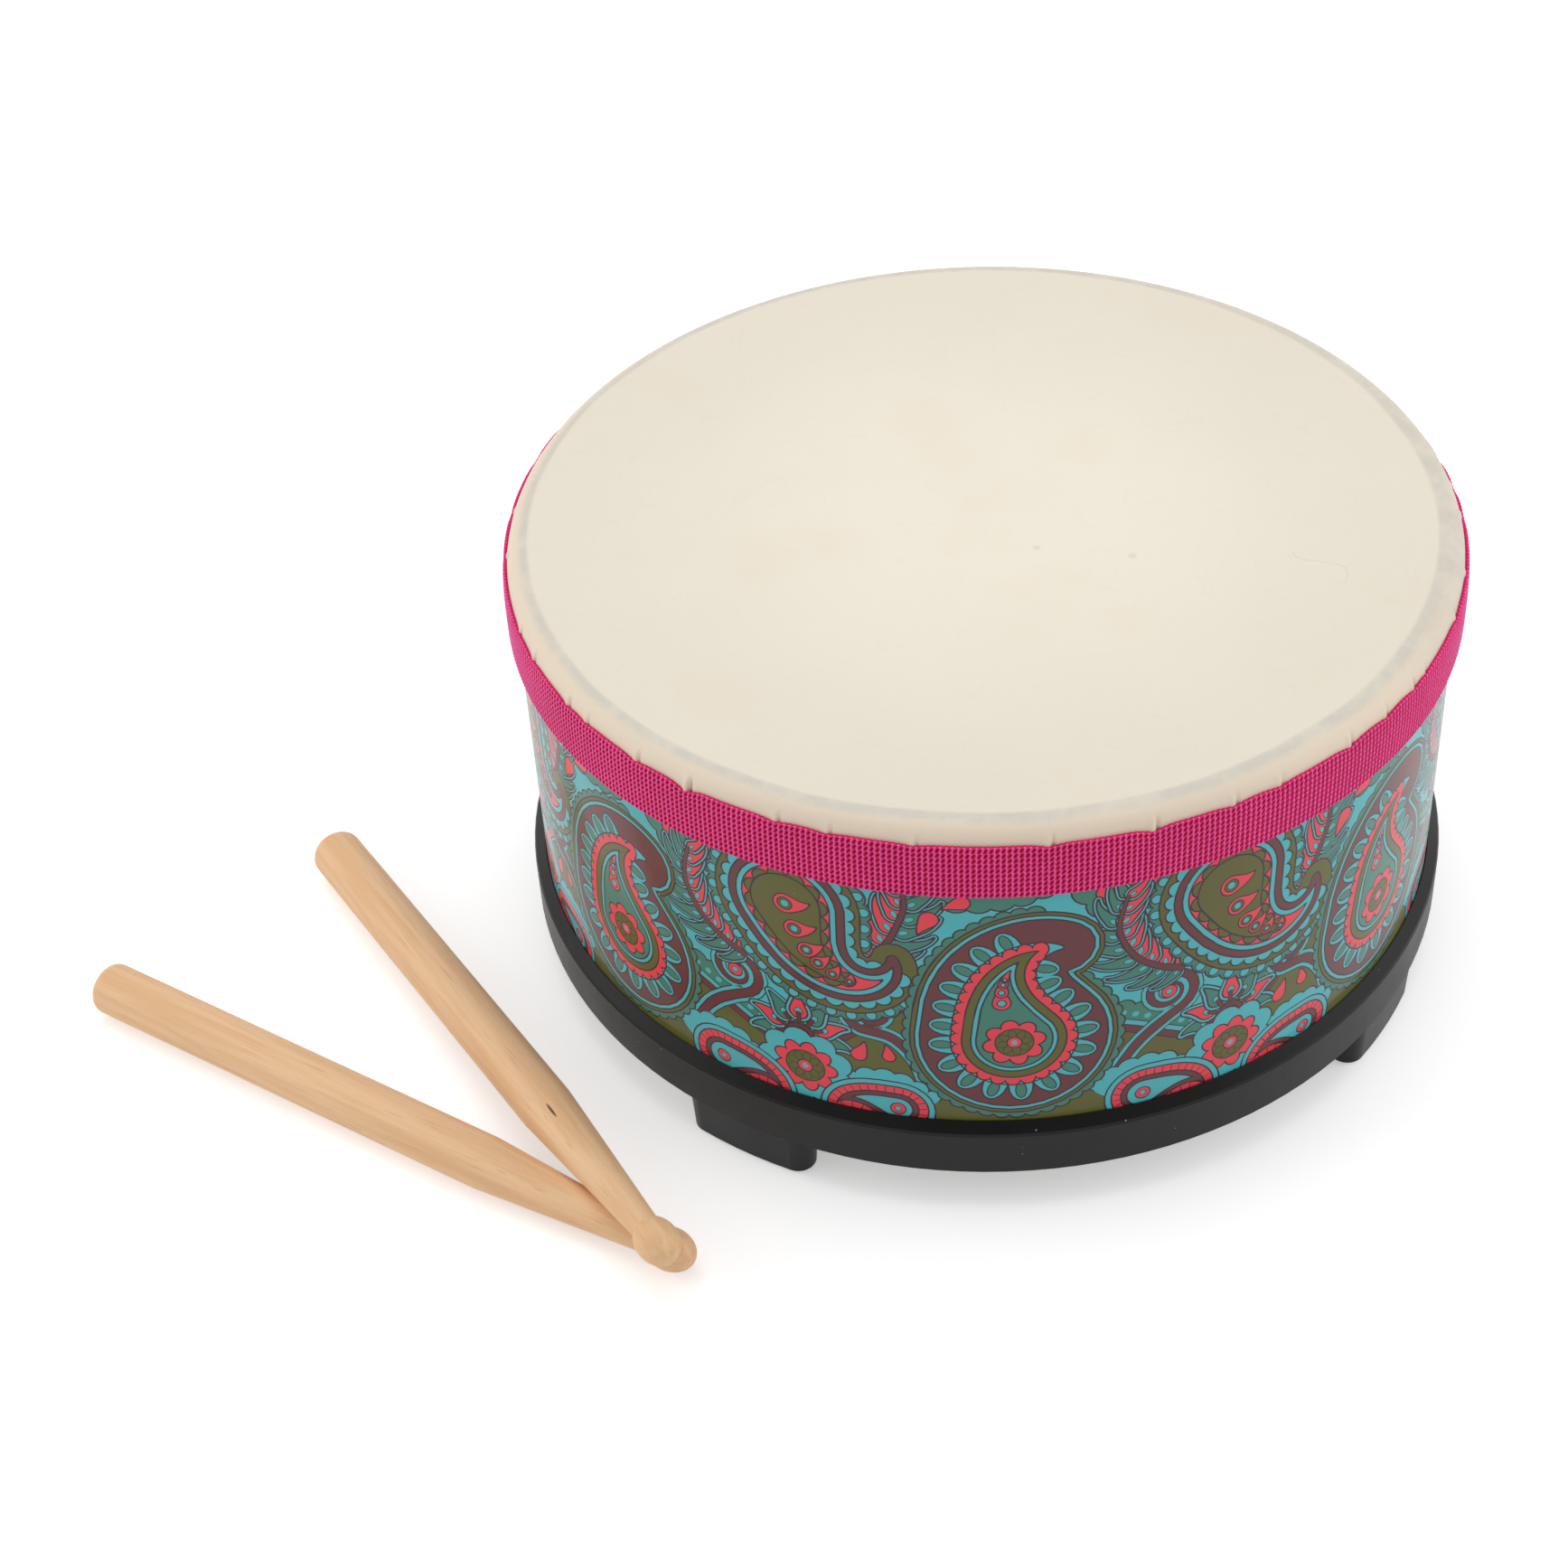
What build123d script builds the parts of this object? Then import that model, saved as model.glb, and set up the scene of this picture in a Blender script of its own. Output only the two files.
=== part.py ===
from build123d import *

import os
from math import asin, atan2, cos, degrees, hypot, radians, sin, sqrt

# A child's floor drum, ten inches across, with its pair of wooden sticks lying beside it.
#
# Frame: millimetres, +Z up. The origin is on the drum's axis, on the floor that the feet
# stand on. Angles in the floor plane are counted from +X towards +Y, so -90 degrees is
# the front of the drum.

# ---------------------------------------------------------------- driving dimensions

# Shell: a plain tube, bevelled at the top to a bearing edge for the skin.
shell_radius = 126.7
shell_wall = 6.0
shell_inner_bevel = 1.0

# Printed film glued round the shell.
wrap_thickness = 0.3
wrap_top_margin = 0.5

# Skin: its top is the height of the whole drum.
drum_height = 132.0
skin_thickness = 0.8
skin_edge_radius = 5.5
skin_skirt_depth = 18.0
skin_fit = 0.05

# Staples that hold the skin's skirt to the shell, hidden by the webbing.
staple_count = 22
staple_width = 10.0
staple_wire = 0.7
staple_leg = 6.0
staple_depth_below_top = 11.0
staple_first_angle = 3.0

# Woven webbing glued over the staples.
webbing_width = 15.6
webbing_thickness = 1.5
webbing_depth_below_top = 4.4
webbing_fit = 0.05
webbing_end_gap = 0.6
webbing_join_angle = 90.0

# Base ring: a moulded channel that the shell's lower end stands in.
ring_wall = 3.2
ring_wall_height = 14.2
ring_lip_rise = 2.5
ring_edge_chamfer = 0.5
ring_fit = 0.3
channel_floor = 2.5
inner_lip_wall = 2.0
inner_lip_height = 8.0

# Feet, moulded in one with the base ring.
foot_count = 4
foot_first_angle = 60.0
foot_height = 14.0
foot_width = 11.0
foot_arc = 12.8
foot_inset = 0.8
foot_draft = 3.0
foot_edge_chamfer = 1.0
foot_wall = 2.5
foot_sole = 2.5
foot_rib = 2.0

# Drumsticks, both turned to one pattern.
stick_length = 203.0
butt_radius = 7.5
butt_edge_radius = 3.0
taper_start = 136.0
taper_end_radius = 3.5
bead_length = 15.0
bead_radius = 5.8

# Where the sticks lie: the bearing of both tips from the drum's axis, how far each tip is
# from the ring, and the direction from each tip towards its butt.
stick_bearing = -115.8
lower_tip_gap = 41.4
upper_tip_gap = 51.4
lower_stick_heading = 150.5
upper_stick_heading = 124.7
stick_clearance = 0.3

# ---------------------------------------------------------------- worked-out dimensions

wrap_radius = shell_radius + wrap_thickness
shell_bore_radius = shell_radius - shell_wall
skin_inner_radius = wrap_radius + skin_fit
skin_radius = skin_inner_radius + skin_thickness
skin_inner_edge_radius = skin_edge_radius - skin_thickness
bearing_edge_bevel = skin_inner_edge_radius - wrap_thickness
skin_underside = drum_height - skin_thickness
shell_top = skin_underside - skin_fit
webbing_inner_radius = skin_radius + webbing_fit

ring_bore_radius = wrap_radius + ring_fit
ring_radius = ring_bore_radius + ring_wall
inner_lip_radius = shell_bore_radius - ring_fit
ring_opening_radius = inner_lip_radius - inner_lip_wall
channel_bottom = foot_height + channel_floor
foot_middle_radius = ring_radius - foot_inset - foot_width / 2

bead_centre = stick_length - bead_length / 2


def degrees_on(radius, length):
    """The angle that an arc of this length takes up on this radius."""
    return degrees(length / radius)


# ---------------------------------------------------------------- drum shell

with BuildPart() as drum_shell:
    with BuildSketch(Plane.XY.offset(channel_bottom)):
        Circle(shell_radius)
        Circle(shell_bore_radius, mode=Mode.SUBTRACT)
    extrude(amount=shell_top - channel_bottom)
    inner_rim, outer_rim = drum_shell.edges().group_by(Axis.Z)[-1].sort_by(SortBy.LENGTH)
    chamfer(inner_rim, shell_inner_bevel)
    chamfer(outer_rim, bearing_edge_bevel)

drum_shell.part.label = "drum_shell"

# ---------------------------------------------------------------- printed wrap

wrap_top = shell_top - bearing_edge_bevel - wrap_top_margin

with BuildPart() as printed_wrap:
    with BuildSketch(Plane.XY.offset(channel_bottom)):
        Circle(wrap_radius)
        Circle(shell_radius, mode=Mode.SUBTRACT)
    extrude(amount=wrap_top - channel_bottom)

printed_wrap.part.label = "printed_wrap"

# ---------------------------------------------------------------- drum head

# The skin is a shallow cap: flat on top, drawn over the shell's bevelled edge, with a skirt.
skirt_bottom = drum_height - skin_skirt_depth

with BuildPart() as drum_head:
    with BuildSketch(Plane.XZ) as skin_section:
        with BuildLine():
            Polyline(
                (0, skin_underside),
                (0, drum_height),
                (skin_radius, drum_height),
                (skin_radius, skirt_bottom),
                (skin_inner_radius, skirt_bottom),
                (skin_inner_radius, skin_underside),
                close=True,
            )
        make_face()
        inner_bend = skin_section.vertices().sort_by_distance((skin_inner_radius, skin_underside))[0]
        fillet(inner_bend, skin_inner_edge_radius)
        outer_bend = skin_section.vertices().sort_by_distance((skin_radius, drum_height))[0]
        fillet(outer_bend, skin_edge_radius)
    revolve(axis=Axis.Z)

drum_head.part.label = "drum_head"

# ---------------------------------------------------------------- head staples

# Each staple is a flat U of wire, its crown sunk flush with the skin, its legs in the shell.
staple_bottom = drum_height - staple_depth_below_top - staple_wire / 2
crown_radius = sqrt(skin_radius**2 - (staple_width / 2) ** 2)

with BuildPart() as head_staples:
    with BuildSketch(Plane.XY.offset(staple_bottom)):
        with PolarLocations(crown_radius, staple_count, start_angle=staple_first_angle):
            Rectangle(staple_leg, staple_width, align=(Align.MAX, Align.CENTER))
        with PolarLocations(crown_radius - staple_wire, staple_count, start_angle=staple_first_angle):
            Rectangle(
                staple_leg,
                staple_width - 2 * staple_wire,
                align=(Align.MAX, Align.CENTER),
                mode=Mode.SUBTRACT,
            )
    extrude(amount=staple_wire)

head_staples.part.label = "head_staples"

# ---------------------------------------------------------------- edge webbing

# The band is a strip whose two cut ends meet, a hair apart, at the back of the drum.
webbing_top = drum_height - webbing_depth_below_top
webbing_gap_angle = degrees_on(webbing_inner_radius, webbing_end_gap)
webbing_start_plane = Plane.XZ.rotated((0, 0, webbing_join_angle + webbing_gap_angle / 2))

with BuildPart() as edge_webbing:
    with BuildSketch(webbing_start_plane):
        with Locations((webbing_inner_radius, webbing_top)):
            Rectangle(webbing_thickness, webbing_width, align=(Align.MIN, Align.MAX))
    revolve(axis=Axis.Z, revolution_arc=360 - webbing_gap_angle)

edge_webbing.part.label = "edge_webbing"

# ---------------------------------------------------------------- base ring

ring_wall_top = foot_height + ring_wall_height
pocket_width = foot_width - 2 * foot_wall
pocket_end_angle = degrees_on(foot_middle_radius, foot_rib / 2 + pocket_width / 2)
foot_centre_line = CenterArc((0, 0), foot_middle_radius, -foot_arc / 2, foot_arc)
pocket_centre_lines = [
    CenterArc((0, 0), foot_middle_radius, start, foot_arc / 2 - pocket_end_angle)
    for start in (-foot_arc / 2, pocket_end_angle)
]

with BuildPart() as base_ring:
    # The channel: outer wall with its sloping top, floor and inner lip.
    with BuildSketch(Plane.XZ) as channel_section:
        with BuildLine():
            Polyline(
                (ring_opening_radius, foot_height),
                (ring_radius, foot_height),
                (ring_radius, ring_wall_top),
                (ring_bore_radius, ring_wall_top + ring_lip_rise),
                (ring_bore_radius, channel_bottom),
                (inner_lip_radius, channel_bottom),
                (inner_lip_radius, channel_bottom + inner_lip_height),
                (ring_opening_radius, channel_bottom + inner_lip_height),
                close=True,
            )
        make_face()
        chamfer(channel_section.vertices().group_by(Axis.X)[-1], ring_edge_chamfer)
    revolve(axis=Axis.Z)

    # Four feet that follow the ring, narrowing towards the floor.
    with BuildSketch(Plane.XY.offset(foot_height)):
        with PolarLocations(0, foot_count, start_angle=foot_first_angle):
            SlotArc(foot_centre_line, foot_width)
    extrude(amount=-foot_height, taper=foot_draft)
    chamfer(base_ring.edges().group_by(Axis.Z)[0], foot_edge_chamfer)

    # Two pockets in each foot, open to the channel, leave an even wall and one rib.
    with BuildSketch(Plane.XY.offset(channel_bottom)):
        with PolarLocations(0, foot_count, start_angle=foot_first_angle):
            for pocket_centre_line in pocket_centre_lines:
                SlotArc(pocket_centre_line, pocket_width)
    extrude(amount=foot_sole - channel_bottom, mode=Mode.SUBTRACT)

base_ring.part.label = "base_ring"

# ---------------------------------------------------------------- drumsticks


def stick_radius_at(distance):
    """The stick's radius at this distance from its butt end."""
    along_taper = min(1, max(0, (distance - taper_start) / (bead_centre - taper_start)))
    turned = butt_radius - (butt_radius - taper_end_radius) * along_taper
    along_bead = (distance - bead_centre) / (bead_length / 2)
    bead = bead_radius * sqrt(max(0, 1 - along_bead**2))
    return max(turned, bead)


def plan_direction(heading):
    """The level unit vector that points along this heading."""
    return Vector(cos(radians(heading)), sin(radians(heading)), 0)


def tip_position(gap):
    """Where a tip lies in plan, this far from the ring on the sticks' bearing."""
    return plan_direction(stick_bearing) * (ring_radius + gap)


def tilt_that_reaches(height, distance):
    """The tilt of a stick on its rounded butt that brings its axis to a height at a distance."""
    rim_centre = (butt_edge_radius, butt_radius - butt_edge_radius)
    run = distance - rim_centre[0]
    rise = height - butt_edge_radius
    return asin(rise / hypot(run, rim_centre[1])) - atan2(rim_centre[1], run)


def leaning_tilt():
    """The least tilt at which the upper stick, its butt on the floor, clears the lower one.

    Both sticks are taken as rows of balls, one each millimetre from the taper's start.
    """
    lower_tip = tip_position(lower_tip_gap)
    upper_tip = tip_position(upper_tip_gap)
    stations = range(int(taper_start), int(stick_length))
    tilt = 0.0
    for upper_distance in stations:
        upper_from_tip = stick_length - upper_distance
        upper_point = upper_tip + plan_direction(upper_stick_heading) * upper_from_tip
        for lower_distance in stations:
            lower_from_tip = stick_length - lower_distance
            lower_point = lower_tip + plan_direction(lower_stick_heading) * lower_from_tip
            apart = (upper_point - lower_point).length
            reach = stick_radius_at(upper_distance) + stick_radius_at(lower_distance) + stick_clearance
            if apart < reach:
                height = butt_radius + sqrt(reach**2 - apart**2)
                tilt = max(tilt, tilt_that_reaches(height, upper_distance))
    return degrees(tilt)


def butt_end_plane(tip_gap, heading, tilt):
    """The plane at the centre of a butt end, its x direction along the stick to the tip."""
    level_to_tip = -plan_direction(heading)
    across = level_to_tip.cross(Vector(0, 0, 1))
    to_tip = level_to_tip * cos(radians(tilt)) + Vector(0, 0, sin(radians(tilt)))
    plan = tip_position(tip_gap) - level_to_tip * stick_length * cos(radians(tilt))
    rim_height = (butt_radius - butt_edge_radius) * cos(radians(tilt))
    height = butt_edge_radius + rim_height - butt_edge_radius * sin(radians(tilt))
    return Plane(origin=plan + Vector(0, 0, height), x_dir=to_tip, z_dir=across)


def turn_stick(butt_end, name):
    """A drumstick turned about the x direction of the plane of its butt end."""
    with BuildPart() as stick:
        with BuildSketch(butt_end) as half_section:
            with BuildLine():
                Polyline(
                    (0, 0),
                    (0, butt_radius),
                    (taper_start, butt_radius),
                    (bead_centre, taper_end_radius),
                    (bead_centre, 0),
                    close=True,
                )
            make_face()
            butt_corner = half_section.vertices().sort_by_distance((0, butt_radius))[0]
            fillet(butt_corner, butt_edge_radius)
            with Locations((bead_centre, 0)):
                Ellipse(bead_length / 2, bead_radius)
            Rectangle(
                stick_length,
                butt_radius,
                align=(Align.MIN, Align.MIN),
                mode=Mode.INTERSECT,
            )
        revolve(axis=Axis(butt_end.origin, butt_end.x_dir))
    stick.part.label = name
    return stick.part


# The lower stick lies flat on its straight part; the upper one leans on its neck.
drumstick_lower = turn_stick(
    butt_end_plane(lower_tip_gap, lower_stick_heading, 0), "drumstick_lower"
)
drumstick_upper = turn_stick(
    butt_end_plane(upper_tip_gap, upper_stick_heading, leaning_tilt()), "drumstick_upper"
)

# ---------------------------------------------------------------- files

pieces = [
    drum_shell.part,
    printed_wrap.part,
    drum_head.part,
    head_staples.part,
    edge_webbing.part,
    base_ring.part,
    drumstick_lower,
    drumstick_upper,
]

os.makedirs("parts", exist_ok=True)
for piece in pieces:
    export_step(piece, f"parts/{piece.label}.step")
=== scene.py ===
"""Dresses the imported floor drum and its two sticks: print, skin, webbing, plastic and wood."""

import logging
import random
from abc import ABC, abstractmethod
from contextlib import contextmanager
from dataclasses import dataclass, field
from enum import Enum
from math import acos, atan2, cos, degrees, hypot, pi, radians, sin, tan
from typing import Any, Callable, Iterator, Mapping, Sequence

import bpy
import numpy as np
from mathutils import Matrix, Vector
from mathutils.geometry import delaunay_2d_cdt


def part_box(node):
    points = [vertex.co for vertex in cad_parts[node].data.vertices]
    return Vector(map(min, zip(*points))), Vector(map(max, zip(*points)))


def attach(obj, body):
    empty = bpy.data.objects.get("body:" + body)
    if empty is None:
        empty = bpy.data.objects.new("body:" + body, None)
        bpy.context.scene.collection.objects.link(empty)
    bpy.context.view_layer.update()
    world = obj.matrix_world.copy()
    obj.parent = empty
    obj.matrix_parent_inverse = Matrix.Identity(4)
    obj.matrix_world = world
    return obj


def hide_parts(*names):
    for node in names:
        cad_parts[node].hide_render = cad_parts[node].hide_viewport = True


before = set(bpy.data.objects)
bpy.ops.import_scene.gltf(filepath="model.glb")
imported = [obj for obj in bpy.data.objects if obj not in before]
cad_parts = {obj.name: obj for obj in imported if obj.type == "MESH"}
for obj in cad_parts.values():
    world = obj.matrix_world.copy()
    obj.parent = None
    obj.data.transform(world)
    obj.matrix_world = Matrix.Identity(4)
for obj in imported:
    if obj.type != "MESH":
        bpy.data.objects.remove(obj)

MM = 0.001
TURN = 2 * pi
TRIANGLES_INSIDE = 1
ORIGIN = (0.0, 0.0, 0.0)
WHITE = (1.0, 1.0, 1.0, 1.0)
Point = tuple[float, float]
Place = tuple[float, float, float]
Colour = tuple[float, float, float, float]
Socket = bpy.types.NodeSocket
log = logging.getLogger("floor_drum")


# ---------------------------------------------------------------- colours and nodes


def colour(red: int, green: int, blue: int) -> Colour:
    """Turns a colour on the screen's 0 to 255 scale into the linear one that shaders take.

    Args:
        red: Red, 0 to 255.
        green: Green, 0 to 255.
        blue: Blue, 0 to 255.

    Returns:
        The linear colour with an alpha of 1.
    """
    shares = (value / 255 for value in (red, green, blue))
    linear = (share / 12.92 if share <= 0.04045 else ((share + 0.055) / 1.055) ** 2.4 for share in shares)
    return (*linear, 1.0)


class NodeSheet:
    """Lays nodes in one tree and joins them."""

    def __init__(self, tree: bpy.types.NodeTree) -> None:
        """Keeps the tree that the nodes go in."""
        self.tree = tree

    def add(
        self,
        kind: str,
        feeds: Mapping[str | int, Any] | None = None,
        settings: Mapping[str, Any] | None = None,
    ) -> bpy.types.Node:
        """Adds a node.

        Args:
            kind: The node's type name.
            feeds: A value or another node's socket for each input, by name or number.
            settings: The node's own settings, by attribute name.

        Returns:
            The new node.
        """
        node = self.tree.nodes.new(kind)
        for name, value in (settings or {}).items():
            setattr(node, name, value)
        for name, value in (feeds or {}).items():
            if isinstance(value, Socket):
                self.tree.links.new(value, node.inputs[name])
            else:
                node.inputs[name].default_value = value
        return node

    def math(self, operation: str, *values: Any) -> Socket:
        """Adds a Math node.

        Args:
            operation: The sum to do, such as "ADD".
            values: A number or socket for each input.

        Returns:
            The result's socket.
        """
        feeds = dict(enumerate(values))
        return self.add("ShaderNodeMath", feeds, {"operation": operation}).outputs[0]

    def vector(self, operation: str, *values: Any) -> Socket:
        """Adds a Vector Math node.

        Args:
            operation: The sum to do, such as "SUBTRACT".
            values: A vector or socket for each input.

        Returns:
            The result's socket, which holds a number for a length, a distance or a dot product.
        """
        node = self.add("ShaderNodeVectorMath", dict(enumerate(values)), {"operation": operation})
        return node.outputs["Value" if operation in ("LENGTH", "DISTANCE", "DOT_PRODUCT") else "Vector"]

    def sway(self, noise: Any, depth: Any) -> Socket:
        """Turns noise round 0.5 into noise round 0 that swings by half this depth each way."""
        return self.math("MULTIPLY", self.math("SUBTRACT", noise, 0.5), depth)

    def spread(self, value: Any, low: float, high: float, to: Point = (0.0, 1.0)) -> Socket:
        """Maps a range of values smoothly onto another.

        Args:
            value: The socket that is mapped.
            low: The value that gives the first result.
            high: The value that gives the second result.
            to: The two results.

        Returns:
            The result's socket.
        """
        feeds = {"Value": value, "From Min": low, "From Max": high, "To Min": to[0], "To Max": to[1]}
        settings = {"interpolation_type": "SMOOTHSTEP"}
        return self.add("ShaderNodeMapRange", feeds, settings).outputs["Result"]

    def mix(self, share: Any, first: Any, second: Any, way: str = "MIX") -> Socket:
        """Mixes two colours.

        Args:
            share: How much of the second colour there is.
            first: The first colour or its socket.
            second: The second colour or its socket.
            way: How they mix.

        Returns:
            The mixed colour's socket.
        """
        settings = {"data_type": "RGBA", "blend_type": way}
        return self.add("ShaderNodeMix", {0: share, 6: first, 7: second}, settings).outputs[2]

    def noise(self, place: Any, scale: Any, detail: float = 3.0, roughness: float = 0.5) -> Socket:
        """Adds soft noise.

        Args:
            place: The coordinates.
            scale: How fine the noise is, per metre.
            detail: How many finer layers it has.
            roughness: How strong the finer layers are.

        Returns:
            The socket of a value round 0.5.
        """
        feeds = {"Vector": place, "Scale": scale, "Detail": detail, "Roughness": roughness}
        return self.add("ShaderNodeTexNoise", feeds).outputs["Fac"]

    def brighten(self, tone: Any, share: Any) -> Socket:
        """Multiplies a colour's brightness by a share."""
        return self.add("ShaderNodeHueSaturation", {"Color": tone, "Value": share}).outputs["Color"]

    def object_place(self) -> Socket:
        """The object's own coordinates, in metres."""
        return self.add("ShaderNodeTexCoord").outputs["Object"]

    def bump(self, height: Any, strength: float, depth: float) -> Socket:
        """Turns a height into a normal.

        Args:
            height: The height's socket, 0 to 1.
            strength: How much of the bump shows.
            depth: How deep a height of 1 is, in metres.

        Returns:
            The normal's socket.
        """
        feeds = {"Height": height, "Strength": strength, "Distance": depth}
        return self.add("ShaderNodeBump", feeds).outputs["Normal"]

    def close(self, result: bpy.types.Node, feeds: Mapping[str, Socket]) -> bpy.types.NodeTree:
        """Feeds a group's outputs.

        Args:
            result: The node that takes the group's outputs.
            feeds: The socket for each of them.

        Returns:
            The finished group.
        """
        for name, socket in feeds.items():
            self.tree.links.new(socket, result.inputs[name])
        return self.tree

    def group(self, tree: bpy.types.NodeTree, feeds: Mapping[str, Any]) -> bpy.types.Node:
        """Adds a node that uses a shared group.

        Args:
            tree: The group.
            feeds: A value or socket for each of its inputs.

        Returns:
            The group node.
        """
        return self.add("ShaderNodeGroup", feeds, {"node_tree": tree})


def new_group(
    name: str, inputs: Mapping[str, str], outputs: Mapping[str, str]
) -> tuple[NodeSheet, bpy.types.Node, bpy.types.Node]:
    """Starts a shared node group.

    Args:
        name: The group's name.
        inputs: Each input's socket kind, by name.
        outputs: Each output's socket kind, by name.

    Returns:
        The sheet to lay nodes on, the node that gives the inputs and the one that takes the outputs.
    """
    tree = bpy.data.node_groups.new(name, "ShaderNodeTree")
    for label, kind in inputs.items():
        tree.interface.new_socket(label, in_out="INPUT", socket_type=kind)
    for label, kind in outputs.items():
        tree.interface.new_socket(label, in_out="OUTPUT", socket_type=kind)
    sheet = NodeSheet(tree)
    return sheet, sheet.add("NodeGroupInput"), sheet.add("NodeGroupOutput")


def handled_surface_group() -> bpy.types.NodeTree:
    """Builds what every handled surface shares: cloudy tone, specks of dust and uneven gloss.

    Returns:
        The group. Its Height is for a bump.
    """
    number, tint = "NodeSocketFloat", "NodeSocketColor"
    sheet, given, result = new_group(
        "handled_surface",
        {
            "Vector": "NodeSocketVector",
            "Color": tint,
            "Cloud Scale": number,
            "Cloud Depth": number,
            "Speck Color": tint,
            "Speck Scale": number,
            "Speck Size": number,
            "Speck Share": number,
            "Roughness": number,
            "Roughness Spread": number,
            "Grain Scale": number,
        },
        {"Color": tint, "Roughness": number, "Height": number},
    )
    place = given.outputs["Vector"]
    cloud = sheet.noise(place, given.outputs["Cloud Scale"], 4.0, 0.6)
    swing = sheet.sway(cloud, given.outputs["Cloud Depth"])
    toned = sheet.brighten(given.outputs["Color"], sheet.math("ADD", swing, 1.0))
    cells = sheet.add("ShaderNodeTexVoronoi", {"Vector": place, "Scale": given.outputs["Speck Scale"]})
    near = sheet.math("LESS_THAN", cells.outputs["Distance"], given.outputs["Speck Size"])
    pick = sheet.add("ShaderNodeSeparateColor", {"Color": cells.outputs["Color"]}).outputs["Red"]
    chosen = sheet.math("LESS_THAN", pick, given.outputs["Speck Share"])
    speck = sheet.math("MULTIPLY", near, chosen)
    rubbed = sheet.sway(cloud, given.outputs["Roughness Spread"])
    feeds = {
        "Color": sheet.mix(speck, toned, given.outputs["Speck Color"]),
        "Roughness": sheet.math("ADD", given.outputs["Roughness"], rubbed),
        "Height": sheet.math("ADD", sheet.noise(place, given.outputs["Grain Scale"], 2.0, 0.6), speck),
    }
    return sheet.close(result, feeds)


def wood_grain_group() -> bpy.types.NodeTree:
    """Builds the grain that the shell and the sticks share, which runs along X.

    Returns:
        The group. Its Height is for a bump.
    """
    number, tint = "NodeSocketFloat", "NodeSocketColor"
    sheet, given, result = new_group(
        "wood_grain",
        {
            "Vector": "NodeSocketVector",
            "Light": tint,
            "Dark": tint,
            "Pore": tint,
            "Band Scale": number,
            "Roughness": number,
        },
        {"Color": tint, "Roughness": number, "Height": number},
    )

    def drawn_out(share: float) -> Socket:
        """The place with its X shrunk to this share, which draws a pattern out along the grain."""
        feeds = {"Vector": given.outputs["Vector"], "Scale": (share, 1.0, 1.0)}
        return sheet.add("ShaderNodeMapping", feeds).outputs["Vector"]

    fibre_scale, fibre_gloss, band_relief, most_pore = 1600.0, 0.12, 0.3, 0.45
    bands = sheet.noise(drawn_out(0.05), given.outputs["Band Scale"], 3.0, 0.55)
    fibre = sheet.noise(drawn_out(0.04), fibre_scale, 2.0, 0.6)
    tone = sheet.mix(sheet.spread(bands, 0.35, 0.68), given.outputs["Light"], given.outputs["Dark"])
    pore = sheet.spread(fibre, 0.60, 0.74, (0.0, most_pore))
    dull = sheet.math("MULTIPLY", fibre, fibre_gloss)
    dent = sheet.math("ADD", pore, sheet.math("MULTIPLY", bands, band_relief))
    feeds = {
        "Color": sheet.mix(pore, tone, given.outputs["Pore"]),
        "Roughness": sheet.math("ADD", given.outputs["Roughness"], dull),
        "Height": sheet.math("SUBTRACT", 1.0, dent),
    }
    return sheet.close(result, feeds)


HANDLED_SURFACE = handled_surface_group()
WOOD_GRAIN = wood_grain_group()


# ---------------------------------------------------------------- finishes


@dataclass(frozen=True)
class Finish(ABC):
    """A finish that can be made into a material."""

    name: str

    @abstractmethod
    def surface(self, sheet: NodeSheet) -> dict[str, Any]:
        """Lays the finish's nodes and says what feeds its main shader.

        Args:
            sheet: The material's sheet.

        Returns:
            A value or socket for each input of the shader.
        """

    def material(self) -> bpy.types.Material:
        """Makes the material.

        Returns:
            A new material with this finish.
        """
        made = bpy.data.materials.new(self.name)
        made.use_nodes = True
        made.node_tree.nodes.clear()
        sheet = NodeSheet(made.node_tree)
        shader = sheet.add("ShaderNodeBsdfPrincipled", self.surface(sheet))
        sheet.add("ShaderNodeOutputMaterial", {"Surface": shader.outputs["BSDF"]})
        return made


@dataclass(frozen=True)
class FilmFinish(Finish):
    """Printed plastic film under a clear gloss, its inks held in the piece's own colours."""

    name: str = "printed_gloss_film"
    ink_layer: str = "ink"
    speck: Colour = colour(196, 200, 196)
    roughness: float = 0.34

    def surface(self, sheet: NodeSheet) -> dict[str, Any]:
        """Lays the film's nodes.

        Args:
            sheet: The material's sheet.

        Returns:
            What feeds the shader.
        """
        inks = sheet.add("ShaderNodeVertexColor", settings={"layer_name": self.ink_layer})
        feeds = {
            "Vector": sheet.object_place(),
            "Color": inks.outputs["Color"],
            "Cloud Scale": 26.0,
            "Cloud Depth": 0.16,
            "Speck Color": self.speck,
            "Speck Scale": 260.0,
            "Speck Size": 0.05,
            "Speck Share": 0.06,
            "Roughness": self.roughness,
            "Roughness Spread": 0.10,
            "Grain Scale": 900.0,
        }
        worn = sheet.group(HANDLED_SURFACE, feeds)
        return {
            "Base Color": worn.outputs["Color"],
            "Roughness": worn.outputs["Roughness"],
            "Normal": sheet.bump(worn.outputs["Height"], 0.10, 0.04 * MM),
            "Coat Weight": 0.3,
            "Coat Roughness": 0.1,
            "Specular IOR Level": 0.1,
        }


@dataclass(frozen=True)
class SkinHair:
    """One curled hair in the skin: how it lies and waves, in millimetres, and its turn in degrees."""

    centre: Point = (88.0, -23.5)
    turn: float = -60.0
    reach: Point = (-8.0, 11.5)
    fade: float = 2.0
    swing: float = 4.0
    wave: float = 22.0
    width: float = 0.45
    share: float = 0.16


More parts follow.
